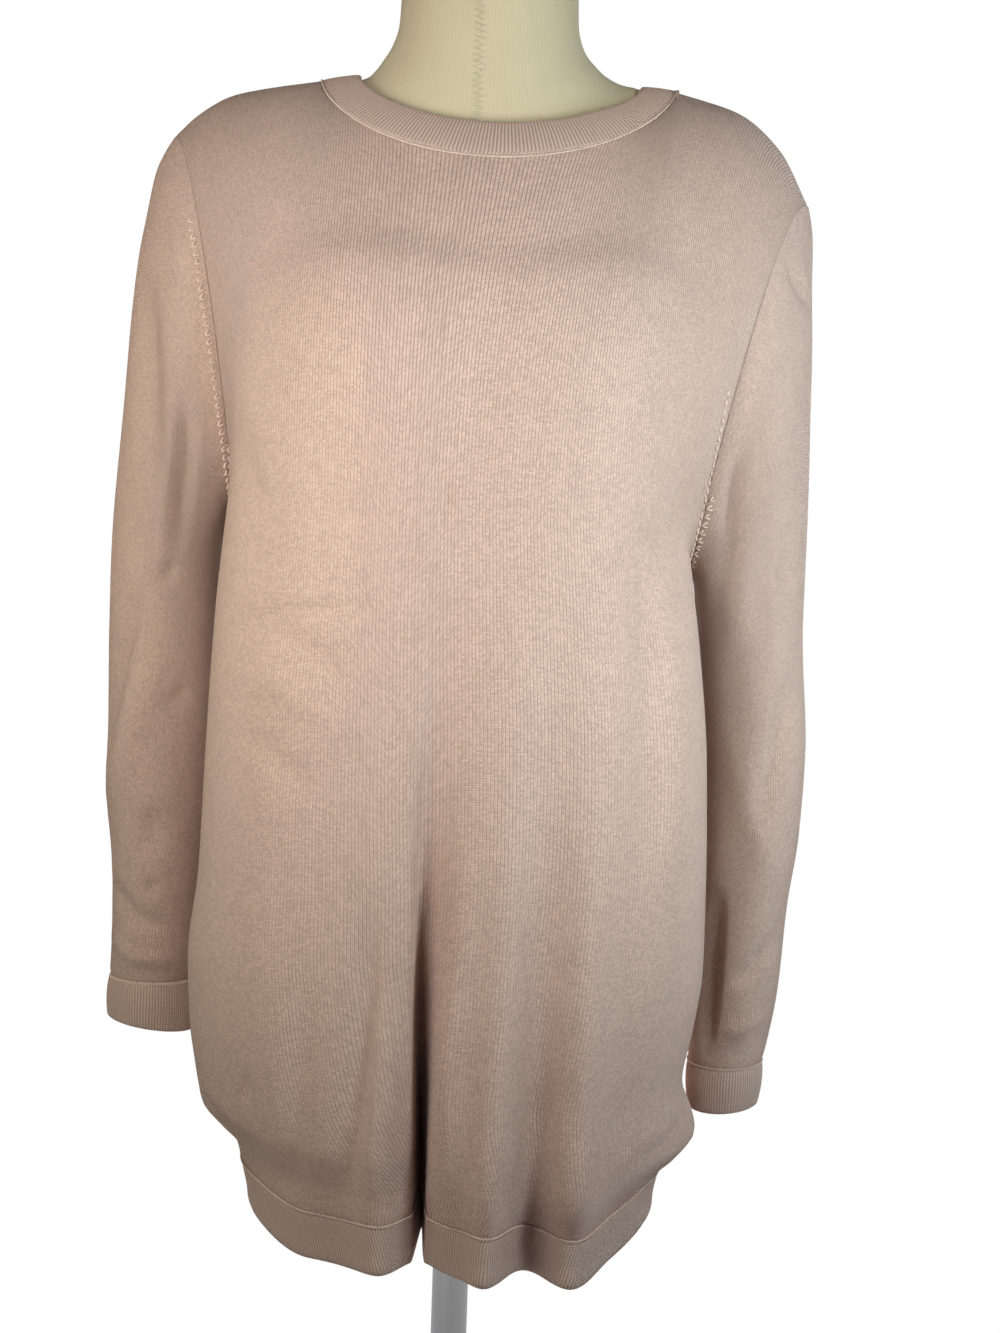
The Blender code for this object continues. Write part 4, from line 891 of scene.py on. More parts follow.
def makeForm():
    split = sweater["neckSplit"]
    share = np.concatenate((np.linspace(-1.0, -split, 17)[:-1], np.linspace(-split, split, 65),
                            np.linspace(split, 1.0, 17)[1:]))
    inNeck = (np.abs(share) <= split + 1e-9)
    shape = bmesh.new()
    for facing in (-1, 1):
        torso = formTorso(share, facing)
        neck = share[inNeck] / split
        rings = np.array([collarLoop({name: formNeck[name][k] for name in formNeck}, neck, facing)
                          for k in range(len(formNeck["height"]))])
        fine = np.linspace(0.0, len(rings) - 1.0, 61)
        levels = np.empty((len(fine),) + rings.shape[1:])
        for i, axis in np.ndindex(rings.shape[1:]):
            table = {"key": np.arange(len(rings)), "value": rings[:, i, axis]}
            levels[:, i, axis] = along(table, "key", "value", fine)
        levels[0] = torso[-1][inNeck]
        for grid in (torso, levels):
            verts = [[shape.verts.new(point) for point in row] for row in grid.tolist()]
            for below, above in zip(verts, verts[1:]):
                for i in range(len(below) - 1):
                    shape.faces.new((below[i], below[i + 1], above[i + 1], above[i]))
    bmesh.ops.remove_doubles(shape, verts=shape.verts, dist=1e-5)
    bmesh.ops.holes_fill(shape, edges=shape.edges, sides=0)
    bmesh.ops.recalc_face_normals(shape, faces=shape.faces)
    shape.normal_update()
    # drawn in a little wherever the sweater covers it, so that it stays clear of the knit
    for vert in shape.verts:
        under = max(vert.co.y / neckline["front"], 0.0)
        above = vert.co.z - form["shownFrom"] + form["shownDrop"] * under
        shown = float(easeOff(above / form["shownOver"]))
        vert.co -= vert.normal * form["inset"] * (1.0 - shown)
    mesh = bpy.data.meshes.new("form_cloth")
    shape.to_mesh(mesh)
    shape.free()
    mesh.shade_smooth()
    mesh.set_sharp_from_angle(angle=math.radians(50.0))
    thing = bpy.data.objects.new("form_cloth", mesh)
    bpy.context.scene.collection.objects.link(thing)
    return thing


# a shader tree with one Principled shader, and short ways to add its maths
class Look:
    def __init__(self, name, roughness, metallic=0.0, sheen=0.0, tint=(1.0, 1.0, 1.0)):
        self.material = bpy.data.materials.new(name)
        self.material.use_nodes = True
        self.tree = self.material.node_tree
        self.shader = self.tree.nodes["Principled BSDF"]
        self.set(self.shader, "Roughness", roughness)
        self.set(self.shader, "Metallic", metallic)
        self.set(self.shader, "Sheen Weight", sheen)
        self.set(self.shader, "Sheen Roughness", 0.45)
        self.set(self.shader, "Sheen Tint", (*tint, 1.0))
        if metallic == 0.0:
            self.set(self.shader, "Specular IOR Level", 0.25)

    def set(self, node, name, value):
        if isinstance(value, bpy.types.NodeSocket):
            self.tree.links.new(value, node.inputs[name])
        elif value is not None:
            node.inputs[name].default_value = value

    def maths(self, kind, *values, clamp=False):
        node = self.tree.nodes.new("ShaderNodeMath")
        node.operation, node.use_clamp = kind, clamp
        for i, value in enumerate(values):
            self.set(node, i, value)
        return node.outputs[0]

    def join(self, x=0.0, y=0.0, z=0.0):
        node = self.tree.nodes.new("ShaderNodeCombineXYZ")
        for name, value in (("X", x), ("Y", y), ("Z", z)):
            self.set(node, name, value)
        return node.outputs[0]

    def split(self, vector):
        node = self.tree.nodes.new("ShaderNodeSeparateXYZ")
        self.set(node, 0, vector)
        return node.outputs[0], node.outputs[1], node.outputs[2]

    def noise(self, place, scale, detail=2.0, roughness=0.55):
        node = self.tree.nodes.new("ShaderNodeTexNoise")
        inputs = {"Vector": place, "Scale": scale, "Detail": detail, "Roughness": roughness}
        for name, value in inputs.items():
            self.set(node, name, value)
        return self.maths("SUBTRACT", node.outputs[0], 0.5)

    def chance(self, place):
        node = self.tree.nodes.new("ShaderNodeTexWhiteNoise")
        node.noise_dimensions = "2D"
        self.set(node, "Vector", place)
        return self.maths("SUBTRACT", node.outputs[0], 0.5)

    def weave(self):
        node = self.tree.nodes.new("ShaderNodeUVMap")
        node.uv_map = "weave"
        return self.split(node.outputs[0])[:2]

    def place(self):
        return self.tree.nodes.new("ShaderNodeTexCoord").outputs["Object"]

    # colour between two values by a factor, then scaled by a brightness
    def paint(self, low, high, part, brightness=1.0):
        blend = self.tree.nodes.new("ShaderNodeMix")
        blend.data_type, blend.clamp_factor = "RGBA", True
        self.set(blend, 0, part)
        self.set(blend, 6, (*low, 1.0))
        self.set(blend, 7, (*high, 1.0))
        scaled = self.tree.nodes.new("ShaderNodeVectorMath")
        scaled.operation = "SCALE"
        self.set(scaled, 0, blend.outputs[2])
        self.set(scaled, "Scale", brightness)
        self.set(self.shader, "Base Color", scaled.outputs[0])

    def emboss(self, height, distance, strength=1.0):
        bump = self.tree.nodes.new("ShaderNodeBump")
        self.set(bump, "Height", height)
        self.set(bump, "Distance", distance)
        self.set(bump, "Strength", strength)
        self.set(self.shader, "Normal", bump.outputs[0])


# fine jersey: wales of leaning stitches with painted shade in the thin gaps between them, fuzz and a little
# mottling
jersey = {
    "wale": 0.00215, "course": 0.0015, "slant": 0.55,
    "dark": (0.382, 0.219, 0.162), "light": (0.793, 0.588, 0.498),
    "relief": 0.00055, "grain": 0.48, "mottle": 0.14, "stitchNoise": 0.22,
    # the wales' painted shade and highlight show most where the bust stretches them
    "calm": 0.50, "calmBelow": 1.10, "openAbove": 1.23, "calmAgain": 1.37, "fade": 0.06,
}
ribbing = {"course": 0.0014, "dark": (0.325, 0.196, 0.146), "light": (0.815, 0.603, 0.510), "relief": 0.0004}
formJersey = {
    "radius": 0.060, "wale": 0.0011, "course": 0.0009, "slant": 0.50,
    "dark": (0.480, 0.395, 0.240), "light": (0.840, 0.730, 0.500), "relief": 0.00025,
}


# height and pattern of stockinette at (u, v)
def stockinette(look, u, v, spec):
    wale = look.maths("DIVIDE", u, spec["wale"])
    x = look.maths("SUBTRACT", look.maths("FRACT", wale), 0.5)
    off = look.maths("ABSOLUTE", x)
    dome = look.maths("SUBTRACT", 1.0, look.maths("POWER", look.maths("MULTIPLY", off, 2.0), 3.0))
    near = look.maths("SUBTRACT", 1.0, look.maths("MULTIPLY", off, 9.0), clamp=True)
    groove = look.maths("MULTIPLY", near, 0.35)
    phase = look.maths("SUBTRACT", look.maths("DIVIDE", v, spec["course"]),
                       look.maths("MULTIPLY", off, 2.0 * spec["slant"]))
    leg = look.maths("SINE", look.maths("MULTIPLY", look.maths("FRACT", phase), math.pi))
    height = look.maths("MULTIPLY", look.maths("SUBTRACT", dome, groove),
                        look.maths("MULTIPLY_ADD", leg, 0.45, 0.55))
    cell = look.join(look.maths("FLOOR", wale), look.maths("FLOOR", phase))
    return height, cell


def makeJersey(name, spec):
    look = Look(name, 0.85, sheen=0.30, tint=(1.0, 0.90, 0.84))
    u, v = look.weave()
    height, cell = stockinette(look, u, v, spec)
    flat = look.join(u, v)
    grain = look.noise(look.join(look.maths("MULTIPLY", u, 2.2), v), 700.0, 3.0, 0.7)
    mottle = look.noise(flat, 45.0, 4.0, 0.6)
    tall = spec["openAbove"] - spec["calmBelow"]
    stretch = look.maths("MULTIPLY_ADD", look.split(look.place())[2], 1.0 / tall, -spec["calmBelow"] / tall,
                         clamp=True)
    top = look.maths("MULTIPLY_ADD", look.split(look.place())[2], -1.0 / spec["fade"],
                     spec["calmAgain"] / spec["fade"], clamp=True)
    opened = look.maths("MULTIPLY", stretch, top)
    contrast = look.maths("MULTIPLY_ADD", opened, 1.0 - spec["calm"], spec["calm"])
    # the stitches' height also sets their colour: painted shade in the gaps between wales and courses,
    # painted highlight on the stitch crowns
    part = look.maths("MULTIPLY_ADD", look.maths("SUBTRACT", height, 0.5), contrast, 0.5)
    part = look.maths("MULTIPLY_ADD", grain, 0.7, part)
    bright = look.maths("MULTIPLY_ADD", look.chance(cell), spec["stitchNoise"], 1.0)
    bright = look.maths("MULTIPLY_ADD", grain, spec["grain"], bright)
    bright = look.maths("MULTIPLY_ADD", mottle, spec["mottle"], bright)
    look.paint(spec["dark"], spec["light"], part, bright)
    look.emboss(look.maths("MULTIPLY_ADD", grain, 0.35, height), spec["relief"])
    return look.material


def makeRib(name, spec):
    look = Look(name, 0.88, sheen=0.30, tint=(1.0, 0.90, 0.84))
    u, v = look.weave()
    x = look.maths("ABSOLUTE", look.maths("SUBTRACT", look.maths("FRACT", u), 0.5))
    dome = look.maths("POWER", look.maths("ABSOLUTE", look.maths("COSINE",
                      look.maths("MULTIPLY", u, math.pi))), 0.8)
    phase = look.maths("ADD", look.maths("DIVIDE", v, spec["course"]), look.maths("MULTIPLY", x, 1.2))
    leg = look.maths("SINE", look.maths("MULTIPLY", look.maths("FRACT", phase), math.pi))
    grain = look.noise(look.join(look.maths("MULTIPLY", u, 0.0045), v), 800.0, 3.0, 0.7)
    # the ribs' domes and stitch legs set the colour: painted shade in the grooves between ribs and courses,
    # painted highlight on the rib crowns
    part = look.maths("MULTIPLY_ADD", leg, 0.30, look.maths("MULTIPLY_ADD", dome, 0.75, -0.05))
    bright = look.maths("MULTIPLY_ADD", grain, 0.22, 1.0)
    look.paint(spec["dark"], spec["light"], part, bright)
    look.emboss(look.maths("MULTIPLY_ADD", grain, 0.5, leg), spec["relief"])
    return look.material


def makeFormJersey(name, spec):
    look = Look(name, 0.9, sheen=0.15)
    x, y, z = look.split(look.place())
    u = look.maths("MULTIPLY", look.maths("ARCTAN2", x, look.maths("MULTIPLY", y, -1.0)), spec["radius"])
    height = stockinette(look, u, z, spec)[0]
    flat = look.join(u, z)
    grain = look.noise(flat, 900.0, 2.0, 0.6)
    mottle = look.noise(flat, 30.0, 3.0, 0.6)
    bright = look.maths("MULTIPLY_ADD", mottle, 0.10, look.maths("MULTIPLY_ADD", grain, 0.10, 1.0))
    # the stitches' height sets the colour: painted shade in the gaps between the stitches, painted highlight
    # on their crowns
    look.paint(spec["dark"], spec["light"], look.maths("MULTIPLY_ADD", height, 0.55, 0.30), bright)
    look.emboss(height, spec["relief"])
    return look.material


def makeSteel(name):
    look = Look(name, 0.34, metallic=1.0)
    x, y, z = look.split(look.place())
    square = look.maths("ADD", look.maths("MULTIPLY", x, x), look.maths("MULTIPLY", y, y))
    around = look.maths("SQRT", square)
    brushed = look.noise(look.join(around, z), 900.0, 2.0, 0.6)
    look.paint((0.40, 0.40, 0.41), (0.50, 0.50, 0.51), look.maths("ADD", brushed, 0.5))
    look.emboss(brushed, 0.00003)
    return look.material


def makePlain(name, low, high, roughness, scale):
    look = Look(name, roughness)
    grain = look.noise(look.place(), scale, 3.0, 0.6)
    look.paint(low, high, look.maths("ADD", grain, 0.5))
    look.emboss(grain, 0.0001)
    return look.material


print("shapes defined")
panels = {}
frontThing, panels[-1] = makePanel("front_cloth", -1, frontPanel)
backThing, panels[1] = makePanel("back_cloth", 1, backPanel)
print("panels made")
leftSleeve, leftGrid = makeSleeve("sleeve_right_cloth", "left", panels)
rightSleeve, rightGrid = makeSleeve("sleeve_left_cloth", "right", panels)
leftCuff, leftCuffGrid = makeCuff("cuff_right_cloth", "left")
rightCuff, rightCuffGrid = makeCuff("cuff_left_cloth", "right")
print("sleeves and cuffs made")
bandThing = makeNeckband()
frontHem, frontHemGrid = makeHemBand("hem_front_cloth", -1)
backHem, backHemGrid = makeHemBand("hem_back_cloth", 1)
formThing = makeForm()
print("bands and form made")

knitLook = makeJersey("blush_jersey", jersey)
ribLook = makeRib("blush_rib", ribbing)
formLook = makeFormJersey("cream_jersey", formJersey)
capLook = makePlain("form_cap_linen", (0.42, 0.35, 0.24), (0.52, 0.44, 0.31), 0.8, 900.0)
steelLook = makeSteel("brushed_steel")

pieces = (
    (frontThing, knitLook, "front"), (backThing, knitLook, "back"),
    (leftSleeve, knitLook, "sleeve_right"), (rightSleeve, knitLook, "sleeve_left"),
    (leftCuff, ribLook, "cuff_right"), (rightCuff, ribLook, "cuff_left"),
    (bandThing, ribLook, "neckband"), (frontHem, ribLook, "hem_band_front"),
    (backHem, ribLook, "hem_band_back"), (formThing, formLook, "dress_form"),
)
for thing, look, node in pieces:
    thing.data.materials.append(look)
    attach(thing, "root")
    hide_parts(node)


# yarn that shows as stitches: the linking under the neckband, at the hem and at the cuffs, the fashioning
# marks beside the armholes and the zigzag seam up the form's neck
stitches = {
    "neckLoop": {"pitch": 0.0026, "thick": 0.00058, "wide": 0.0019, "tall": 0.0026,
                 "down": 0.0006, "out": 0.00090},
    "neckCord": {"pitch": 0.0020, "thick": 0.00058, "wide": 0.0023, "tall": 0.0008,
                 "down": 0.0030, "out": 0.00070},
    "hemLoop": {"pitch": 0.0021, "thick": 0.00046, "wide": 0.0018, "tall": 0.0024, "out": 0.00050,
                "down": 0.0011, "cuffOut": 0.00050 / 3.0},
    "mark": {"pitch": 0.0060, "thick": 0.00085, "wide": 0.0036, "tall": 0.0036, "out": 0.00050,
             "bodyIn": 0.0150, "sleeveIn": 0.0070, "bodyFrom": 0.04,
             "bodyUpTo": {"left": 0.20, "right": 0.44}, "sleeveUpTo": {"left": 0.70, "right": 0.30}},
    "zigzag": {"pitch": 0.0043, "wide": 0.0076, "thick": 0.00050, "out": 0.0007,
               "x": -0.0050, "from": 1.3400, "to": 1.4838, "neckRadius": 0.060},
}


# a short bent piece of yarn, lying in its own XY plane and bulging towards +Z
def yarnLink(name, spec, bend):
    t = np.linspace(0.0, 1.0, 6)
    if bend == "loop":
        path = triples((t - 0.5) * spec["wide"], (np.sin(np.pi * t) - 0.5) * spec["tall"],
                       0.0006 * np.sin(np.pi * t) - 0.0003)
    else:
        path = triples((t - 0.5) * spec["wide"], (t - 0.5) * spec["tall"],
                       0.0005 * np.sin(np.pi * t) - 0.0002)
    ways = unit(np.gradient(path, axis=0))
    side = unit(np.cross(ways, (0.0, 0.0, 1.0)))
    lift = np.cross(side, ways)
    rings, verts, faces = 6, [], []
    for i in range(len(path)):
        radius = spec["thick"] * (0.55 + 0.45 * math.sin(math.pi * (i + 0.4) / len(path)))
        for k in range(rings):
            angle = 2.0 * math.pi * k / rings
            verts.append(path[i] + radius * (side[i] * math.cos(angle) + lift[i] * math.sin(angle)))
    for i in range(len(path) - 1):
        for k in range(rings):
            n = (k + 1) % rings
            faces.append((i * rings + k, i * rings + n, (i + 1) * rings + n, (i + 1) * rings + k))
    faces += [tuple(range(rings))[::-1], tuple(range((len(path) - 1) * rings, len(path) * rings))]
    mesh = bpy.data.meshes.new(name)
    mesh.from_pydata([tuple(vert) for vert in verts], [], faces)
    mesh.shade_smooth()
    thing = bpy.data.objects.new(name, mesh)
    bpy.context.scene.collection.objects.link(thing)
    return thing


# paths to sew along, each a line of points with the way out of the cloth at every point
def sewingLine(name, runs):
    mesh = bpy.data.meshes.new(name)
    points = np.concatenate([run[0] for run in runs])
    edges, start = [], 0
    for run in runs:
        edges += [(start + i, start + i + 1) for i in range(len(run[0]) - 1)]
        start += len(run[0])
    mesh.from_pydata([tuple(point) for point in points], edges, [])
    outward = mesh.attributes.new("outward", "FLOAT_VECTOR", "POINT")
    outward.data.foreach_set("vector", np.concatenate([run[1] for run in runs]).ravel())
    thing = bpy.data.objects.new(name, mesh)
    bpy.context.scene.collection.objects.link(thing)
    return thing


class Sewing:
    def __init__(self, name, numbers):
        self.tree = bpy.data.node_groups.new(name, "GeometryNodeTree")
        self.tree.interface.new_socket("Path", in_out="INPUT", socket_type="NodeSocketGeometry")
        for label in numbers:
            self.tree.interface.new_socket(label, in_out="INPUT", socket_type="NodeSocketFloat")
        self.tree.interface.new_socket("Link", in_out="INPUT", socket_type="NodeSocketObject")
        self.tree.interface.new_socket("Yarn", in_out="INPUT", socket_type="NodeSocketMaterial")
        self.tree.interface.new_socket("Stitches", in_out="OUTPUT", socket_type="NodeSocketGeometry")
        self.start = self.tree.nodes.new("NodeGroupInput").outputs
        self.end = self.tree.nodes.new("NodeGroupOutput").inputs

    def node(self, kind, inputs=(), **settings):
        node = self.tree.nodes.new(kind)
        for name, value in settings.items():
            setattr(node, name, value)
        for name, value in inputs:
            if isinstance(value, bpy.types.NodeSocket):
                self.tree.links.new(value, node.inputs[name])
            else:
                node.inputs[name].default_value = value
        return node

    def close(self, shape):
        real = self.node("GeometryNodeRealizeInstances", [("Geometry", shape)])
        done = self.node("GeometryNodeSetMaterial", [("Geometry", real.outputs[0]),
                                                     ("Material", self.start["Yarn"])])
        self.tree.links.new(done.outputs[0], self.end[0])

    def sew(self, line, yarn, link=None, **numbers):
        change = line.modifiers.new("sewing", "NODES")
        change.node_group = self.tree
        for item in self.tree.interface.items_tree:
            if item.in_out == "INPUT" and item.name in numbers:
                change[item.identifier] = numbers[item.name]
            elif item.in_out == "INPUT" and item.name == "Link" and link is not None:
                change[item.identifier] = link
            elif item.in_out == "INPUT" and item.name == "Yarn":
                change[item.identifier] = yarn
        bpy.context.view_layer.update()
        seen = line.evaluated_get(bpy.context.evaluated_depsgraph_get())
        mesh = bpy.data.meshes.new_from_object(seen)
        name = line.name
        bpy.data.objects.remove(line)
        mesh.name = name
        thing = bpy.data.objects.new(name, mesh)
        bpy.context.scene.collection.objects.link(thing)
        return thing


# links set along a path at even steps, each turned and scaled a little at random
def linkTree():
    tree = Sewing("links_along_a_path", ("Pitch", "Turn", "Jitter"))
    curve = tree.node("GeometryNodeMeshToCurve", [("Mesh", tree.start["Path"])])
    steps = tree.node("GeometryNodeResampleCurve", [("Curve", curve.outputs[0]),
                                                    ("Length", tree.start["Pitch"])], mode="LENGTH")
    outward = tree.node("GeometryNodeInputNamedAttribute", [("Name", "outward")], data_type="FLOAT_VECTOR")
    tangent = tree.node("GeometryNodeInputTangent")
    facing = tree.node("FunctionNodeAxesToRotation", [("Primary Axis", outward.outputs[0]),
                                                      ("Secondary Axis", tangent.outputs[0])],
                       primary_axis="Z", secondary_axis="X")
    sway = tree.node("FunctionNodeRandomValue", [("Seed", 4), (2, -1.0), (3, 1.0)], data_type="FLOAT")
    amount = tree.node("ShaderNodeMath", [(0, sway.outputs[1]), (1, tree.start["Jitter"])],
                       operation="MULTIPLY")
    turn = tree.node("ShaderNodeMath", [(0, amount.outputs[0]), (1, tree.start["Turn"])], operation="ADD")
    spin = tree.node("FunctionNodeAxisAngleToRotation", [("Axis", (0.0, 0.0, 1.0)),
                                                         ("Angle", turn.outputs[0])])
    both = tree.node("FunctionNodeRotateRotation", [("Rotation", facing.outputs[0]),
                                                    ("Rotate By", spin.outputs[0])], rotation_space="LOCAL")
    grow = tree.node("FunctionNodeRandomValue", [("Seed", 9), (2, 0.84), (3, 1.12)], data_type="FLOAT")
    link = tree.node("GeometryNodeObjectInfo", [("Object", tree.start["Link"])])
    placed = tree.node("GeometryNodeInstanceOnPoints", [("Points", steps.outputs[0]),
                                                        ("Instance", link.outputs["Geometry"]),
                                                        ("Rotation", both.outputs[0]),
                                                        ("Scale", grow.outputs[1])])
    tree.close(placed.outputs[0])
    return tree


# a thread that swings from side to side of a path
def zigzagTree():
    tree = Sewing("zigzag_along_a_path", ("Half Pitch", "Half Width", "Thickness"))
    curve = tree.node("GeometryNodeMeshToCurve", [("Mesh", tree.start["Path"])])
    steps = tree.node("GeometryNodeResampleCurve", [("Curve", curve.outputs[0]),
                                                    ("Length", tree.start["Half Pitch"])], mode="LENGTH")
    outward = tree.node("GeometryNodeInputNamedAttribute", [("Name", "outward")], data_type="FLOAT_VECTOR")
    tangent = tree.node("GeometryNodeInputTangent")
    side = tree.node("ShaderNodeVectorMath", [(0, tangent.outputs[0]), (1, outward.outputs[0])],
                     operation="CROSS_PRODUCT")
    index = tree.node("GeometryNodeInputIndex")
    odd = tree.node("ShaderNodeMath", [(0, index.outputs[0]), (1, 2.0)], operation="MODULO")
    swing = tree.node("ShaderNodeMath", [(0, odd.outputs[0]), (1, 2.0), (2, -1.0)], operation="MULTIPLY_ADD")
    reach = tree.node("ShaderNodeMath", [(0, swing.outputs[0]), (1, tree.start["Half Width"])],
                      operation="MULTIPLY")
    offset = tree.node("ShaderNodeVectorMath", [(0, side.outputs[0]), ("Scale", reach.outputs[0])],
                       operation="SCALE")
    moved = tree.node("GeometryNodeSetPosition", [("Geometry", steps.outputs[0]),
                                                  ("Offset", offset.outputs[0])])
    profile = tree.node("GeometryNodeCurvePrimitiveCircle", [("Resolution", 6),
                                                             ("Radius", tree.start["Thickness"])])
    thread = tree.node("GeometryNodeCurveToMesh", [("Curve", moved.outputs[0]),
                                                   ("Profile Curve", profile.outputs[0]),
                                                   ("Fill Caps", True)])
    tree.close(thread.outputs[0])
    return tree


# a line across a grid at a distance from its first or last row, stood off from the cloth
def besideRow(grid, distance, out, fromTop, columns=slice(None)):
    points, normals = grid["points"][:, columns], grid["normals"][:, columns]
    if fromTop:
        points, normals = points[::-1], normals[::-1]
    run = runLength(points, 0)
    line, ways = [], []
    for i in range(points.shape[1]):
        line.append([np.interp(distance, run[:, i], points[:, i, axis]) for axis in range(3)])
        ways.append([np.interp(distance, run[:, i], normals[:, i, axis]) for axis in range(3)])
    ways = unit(np.array(ways))
    return np.array(line) + ways * out, ways


def turnedGrid(grid):
    return {"points": grid["points"].transpose(1, 0, 2), "normals": grid["normals"].transpose(1, 0, 2)}


def neckRun(distance, out):
    halves = []
    for facing in (-1, 1):
        columns = np.nonzero(np.abs(panels[facing]["shares"]) <= sweater["neckSplit"] - 0.004)[0]
        line, ways = besideRow(panels[facing], distance, out, True, columns[::-facing])
        halves.append((line, ways))
    line, ways = (np.concatenate((halves[0][k], halves[1][k], halves[0][k][:1])) for k in (0, 1))
    return [(line, ways)]


def ringRun(grid, distance, out):
    line, ways = besideRow(grid, distance, out, False)
    return [(np.concatenate((line, line[:1])), np.concatenate((ways, ways[:1])))]


# marks run up beside the armholes, on the body and on the sleeve; "upTo" says how far on each side
def markRuns():
    spec = stitches["mark"]
    runs = []
    for side, fromTop, sleeveGrid in (("left", False, leftGrid), ("right", True, rightGrid)):
        for facing in (-1, 1):
            grid = panels[facing]
            low, high = (grid["below"] + int(sweater["yokeRows"] * up)
                         for up in (spec["bodyFrom"], spec["bodyUpTo"][side]))
            part = {name: grid[name][low:high] for name in ("points", "normals")}
            runs.append(besideRow(turnedGrid(part), spec["bodyIn"], spec["out"], fromTop))
        half = sweater["yokeRows"] // 2
        columns = np.arange(2, int(half * spec["sleeveUpTo"][side]))
        for mine in (columns, 2 * half - columns):
            runs.append(besideRow(sleeveGrid, spec["sleeveIn"], spec["out"], False, mine))
    return runs


def zigzagRuns():
    spec = stitches["zigzag"]
    x = spec["x"]
    z = np.linspace(spec["from"], spec["to"], 60)
    runs = []
    for facing, side in ((-1, "front"), (1, "back")):
        drop = "drop" + side.capitalize()
        level = {"z": [h - d for h, d in zip(formNeck["height"], formNeck[drop])], "y": formNeck[side],
                 "half": formNeck["halfWidth"]}
        y, half = along(level, "z", "y", z), along(level, "z", "half", z)
        points = triples(x, y * np.sqrt(1.0 - (x / half) ** 2) + facing * spec["out"], z)
        runs.append((points, triples(0.0 * z + x / spec["neckRadius"], facing, 0.0 * z)))
    return runs


def makeYarn(name, low, high):
    look = Look(name, 0.8, sheen=0.35, tint=(1.0, 0.92, 0.88))
    grain = look.noise(look.place(), 1800.0, 3.0, 0.7)
    look.paint(low, high, look.maths("MULTIPLY_ADD", grain, 1.6, 0.5))
    look.emboss(grain, 0.0002)
    return look.material


yarnLook = makeYarn("blush_yarn", (0.700, 0.510, 0.420), (0.930, 0.740, 0.640))
quietLook = makeYarn("quiet_blush_yarn", (0.590, 0.420, 0.340), (0.850, 0.655, 0.560))
threadLook = makeYarn("cream_thread", (0.860, 0.790, 0.590), (0.960, 0.910, 0.740))
links, zigzag = linkTree(), zigzagTree()
neckLoop = yarnLink("neck_loop_link", stitches["neckLoop"], "loop")
neckSlant = yarnLink("neck_cord_link", stitches["neckCord"], "slant")
hemLink = yarnLink("hem_link", stitches["hemLoop"], "loop")
markLink = yarnLink("mark_link", stitches["mark"], "loop")
sewn = []


def sewLinks(name, runs, link, spec, turn=0.0, jitter=0.12, look=yarnLook):
    thing = links.sew(sewingLine(name, runs), look, link, Pitch=spec["pitch"], Turn=turn, Jitter=jitter)
    sewn.append((thing, "knit"))


spec = stitches["neckLoop"]
sewLinks("neck_linking_loops", neckRun(spec["down"], spec["out"]), neckLoop, spec)
spec = stitches["neckCord"]
sewLinks("neck_linking_cord", neckRun(spec["down"], spec["out"]), neckSlant, spec, jitter=0.08)
spec = stitches["hemLoop"]
hemRuns = [besideRow(grid, spec["down"], spec["out"], True) for grid in (frontHemGrid, backHemGrid)]
sewLinks("hem_linking", hemRuns, hemLink, spec)
for name, grid in (("cuff_right_linking", leftCuffGrid), ("cuff_left_linking", rightCuffGrid)):
    sewLinks(name, ringRun(grid, spec["down"], spec["cuffOut"]), hemLink, spec, look=quietLook)
spec = stitches["mark"]
sewLinks("fashioning_marks", markRuns(), markLink, spec, turn=0.5, jitter=0.35, look=quietLook)
spec = stitches["zigzag"]
zigzagSizes = {"Half Pitch": spec["pitch"] / 2.0, "Half Width": spec["wide"] / 2.0,
               "Thickness": spec["thick"]}
seam = zigzag.sew(sewingLine("form_seam_zigzag", zigzagRuns()), threadLook, **zigzagSizes)
sewn.append((seam, "form_jersey"))
for spare in (neckLoop, neckSlant, hemLink, markLink):
    bpy.data.objects.remove(spare)
for thing, slotName in sewn:
    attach(thing, "root")

for node, look, name in (("neck_cap", capLook, "form_cap"), ("stand_pole", steelLook, "stand_steel"),
                         ("stand_base", steelLook, "stand_steel")):
    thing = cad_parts[node]
    thing.material_slots[0].material = look

# a pale floor and soft light
floorMesh = bpy.data.meshes.new("studio_floor")
disc = bmesh.new()
bmesh.ops.create_circle(disc, cap_ends=True, segments=96, radius=1.25)
disc.to_mesh(floorMesh)
disc.free()
floor = bpy.data.objects.new("studio_floor", floorMesh)
floor.location = (0.0, 0.0, -0.0005)
floorMesh.materials.append(makePlain("floor_paint", (0.79, 0.79, 0.78), (0.81, 0.81, 0.80), 0.9, 8.0))
bpy.context.scene.collection.objects.link(floor)

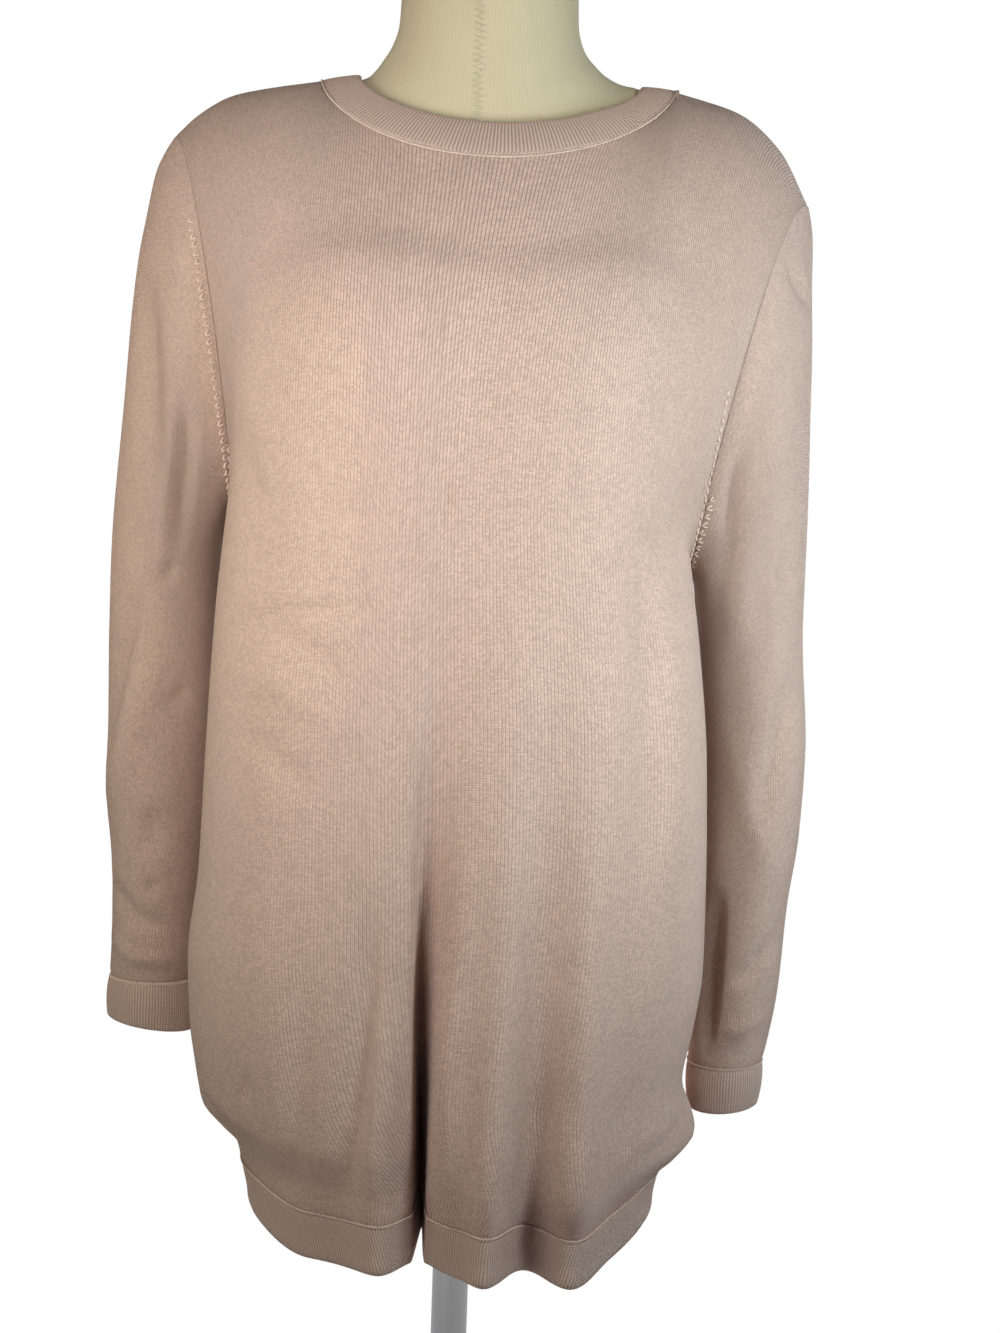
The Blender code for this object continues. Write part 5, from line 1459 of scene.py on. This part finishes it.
lights = {
    "front_left": {"at": (-0.20, -0.50, 1.14), "to": (-0.08, 0.0, 1.14), "size": (0.15, 0.30), "power": 1.3,
                   "colour": (0.94, 0.962, 1.0)},
    "left_warm": {"at": (-0.36, -0.45, 1.10), "to": (-0.15, 0.0, 1.10), "size": (0.15, 0.40), "power": 0.6,
                  "colour": (1.0, 1.0, 0.60)},
    "right_cool": {"at": (0.36, -0.45, 1.10), "to": (0.15, 0.0, 1.10), "size": (0.15, 0.40), "power": 2.45,
                   "colour": (0.84, 0.97, 1.0)},
    "left_side": {"at": (-0.60, -0.20, 1.25), "to": (-0.20, 0.0, 1.20), "size": (0.2, 0.5), "power": 0.75,
                  "colour": (1.0, 0.82, 0.72)},
    "right_side": {"at": (0.62, -0.16, 1.14), "to": (0.20, 0.0, 1.10), "size": (0.2, 0.6), "power": 1.0,
                   "colour": (0.82, 0.95, 1.0)},
    "low_left": {"at": (-0.28, -0.50, 0.60), "to": (-0.08, 0.0, 0.64), "size": (0.15, 0.10), "power": 0.16,
                 "colour": (1.0, 0.95, 0.88)},
    "neck_top": {"at": (0.0, -0.36, 1.62), "to": (0.0, -0.05, 1.49), "size": (0.12, 0.12), "power": 0.42,
                 "colour": (1.0, 0.97, 0.90)},
    "back_soft": {"at": (0.3, 1.60, 1.40), "to": (0.0, 0.0, 1.05), "size": (1.2, 1.2), "power": 26.0,
                  "colour": (1.0, 0.98, 0.96)},
    "floor_wash": {"at": (0.0, 1.00, 1.10), "to": (0.0, 0.80, 0.0), "size": (1.6, 0.5), "power": 9.0,
                   "colour": (1.0, 1.0, 1.0)},
}
for name, light in lights.items():
    lamp = bpy.data.lights.new(name, "AREA")
    lamp.shape = "RECTANGLE"
    lamp.size, lamp.size_y = light["size"]
    lamp.energy = light["power"]
    lamp.color = light["colour"]
    holder = bpy.data.objects.new(name, lamp)
    holder.location = light["at"]
    aim = Vector(light["to"]) - Vector(light["at"])
    holder.rotation_euler = aim.to_track_quat("-Z", "Y").to_euler()
    holder.visible_camera = False
    bpy.context.scene.collection.objects.link(holder)

world = bpy.data.worlds.new("studio_air")
world.use_nodes = True
air = world.node_tree
background = air.nodes["Background"]
background.inputs["Color"].default_value = (1.0, 0.98, 0.96, 1.0)
background.inputs["Strength"].default_value = 0.04
backdrop = air.nodes.new("ShaderNodeBackground")
backdrop.inputs["Color"].default_value = (1.0, 1.0, 1.0, 1.0)
backdrop.inputs["Strength"].default_value = 1.0
ray, bright = air.nodes.new("ShaderNodeLightPath"), air.nodes.new("ShaderNodeMath")
either = air.nodes.new("ShaderNodeMixShader")
bright.operation = "MULTIPLY_ADD"
bright.use_clamp = True
bright.inputs[1].default_value = 0.6
air.links.new(ray.outputs["Is Glossy Ray"], bright.inputs[0])
air.links.new(ray.outputs["Is Camera Ray"], bright.inputs[2])
air.links.new(bright.outputs[0], either.inputs["Fac"])
air.links.new(background.outputs["Background"], either.inputs[1])
air.links.new(backdrop.outputs["Background"], either.inputs[2])
air.links.new(either.outputs["Shader"], air.nodes["World Output"].inputs["Surface"])
bpy.context.scene.world = world

camera = bpy.data.objects.new("camera", bpy.data.cameras.new("camera"))
camera.data.sensor_fit = "VERTICAL"
camera.data.angle = 2.0 * math.atan(666.5 / 1857.0)
camera.matrix_world = (Matrix.Translation((0.0214, -1.30, 0.99)) @ Matrix.Rotation(math.radians(90.0), 4, "X")
                       @ Matrix.Rotation(math.radians(1.8), 4, "Z"))
bpy.context.scene.collection.objects.link(camera)
bpy.context.scene.camera = camera
bpy.context.scene.view_settings.view_transform = "Standard"
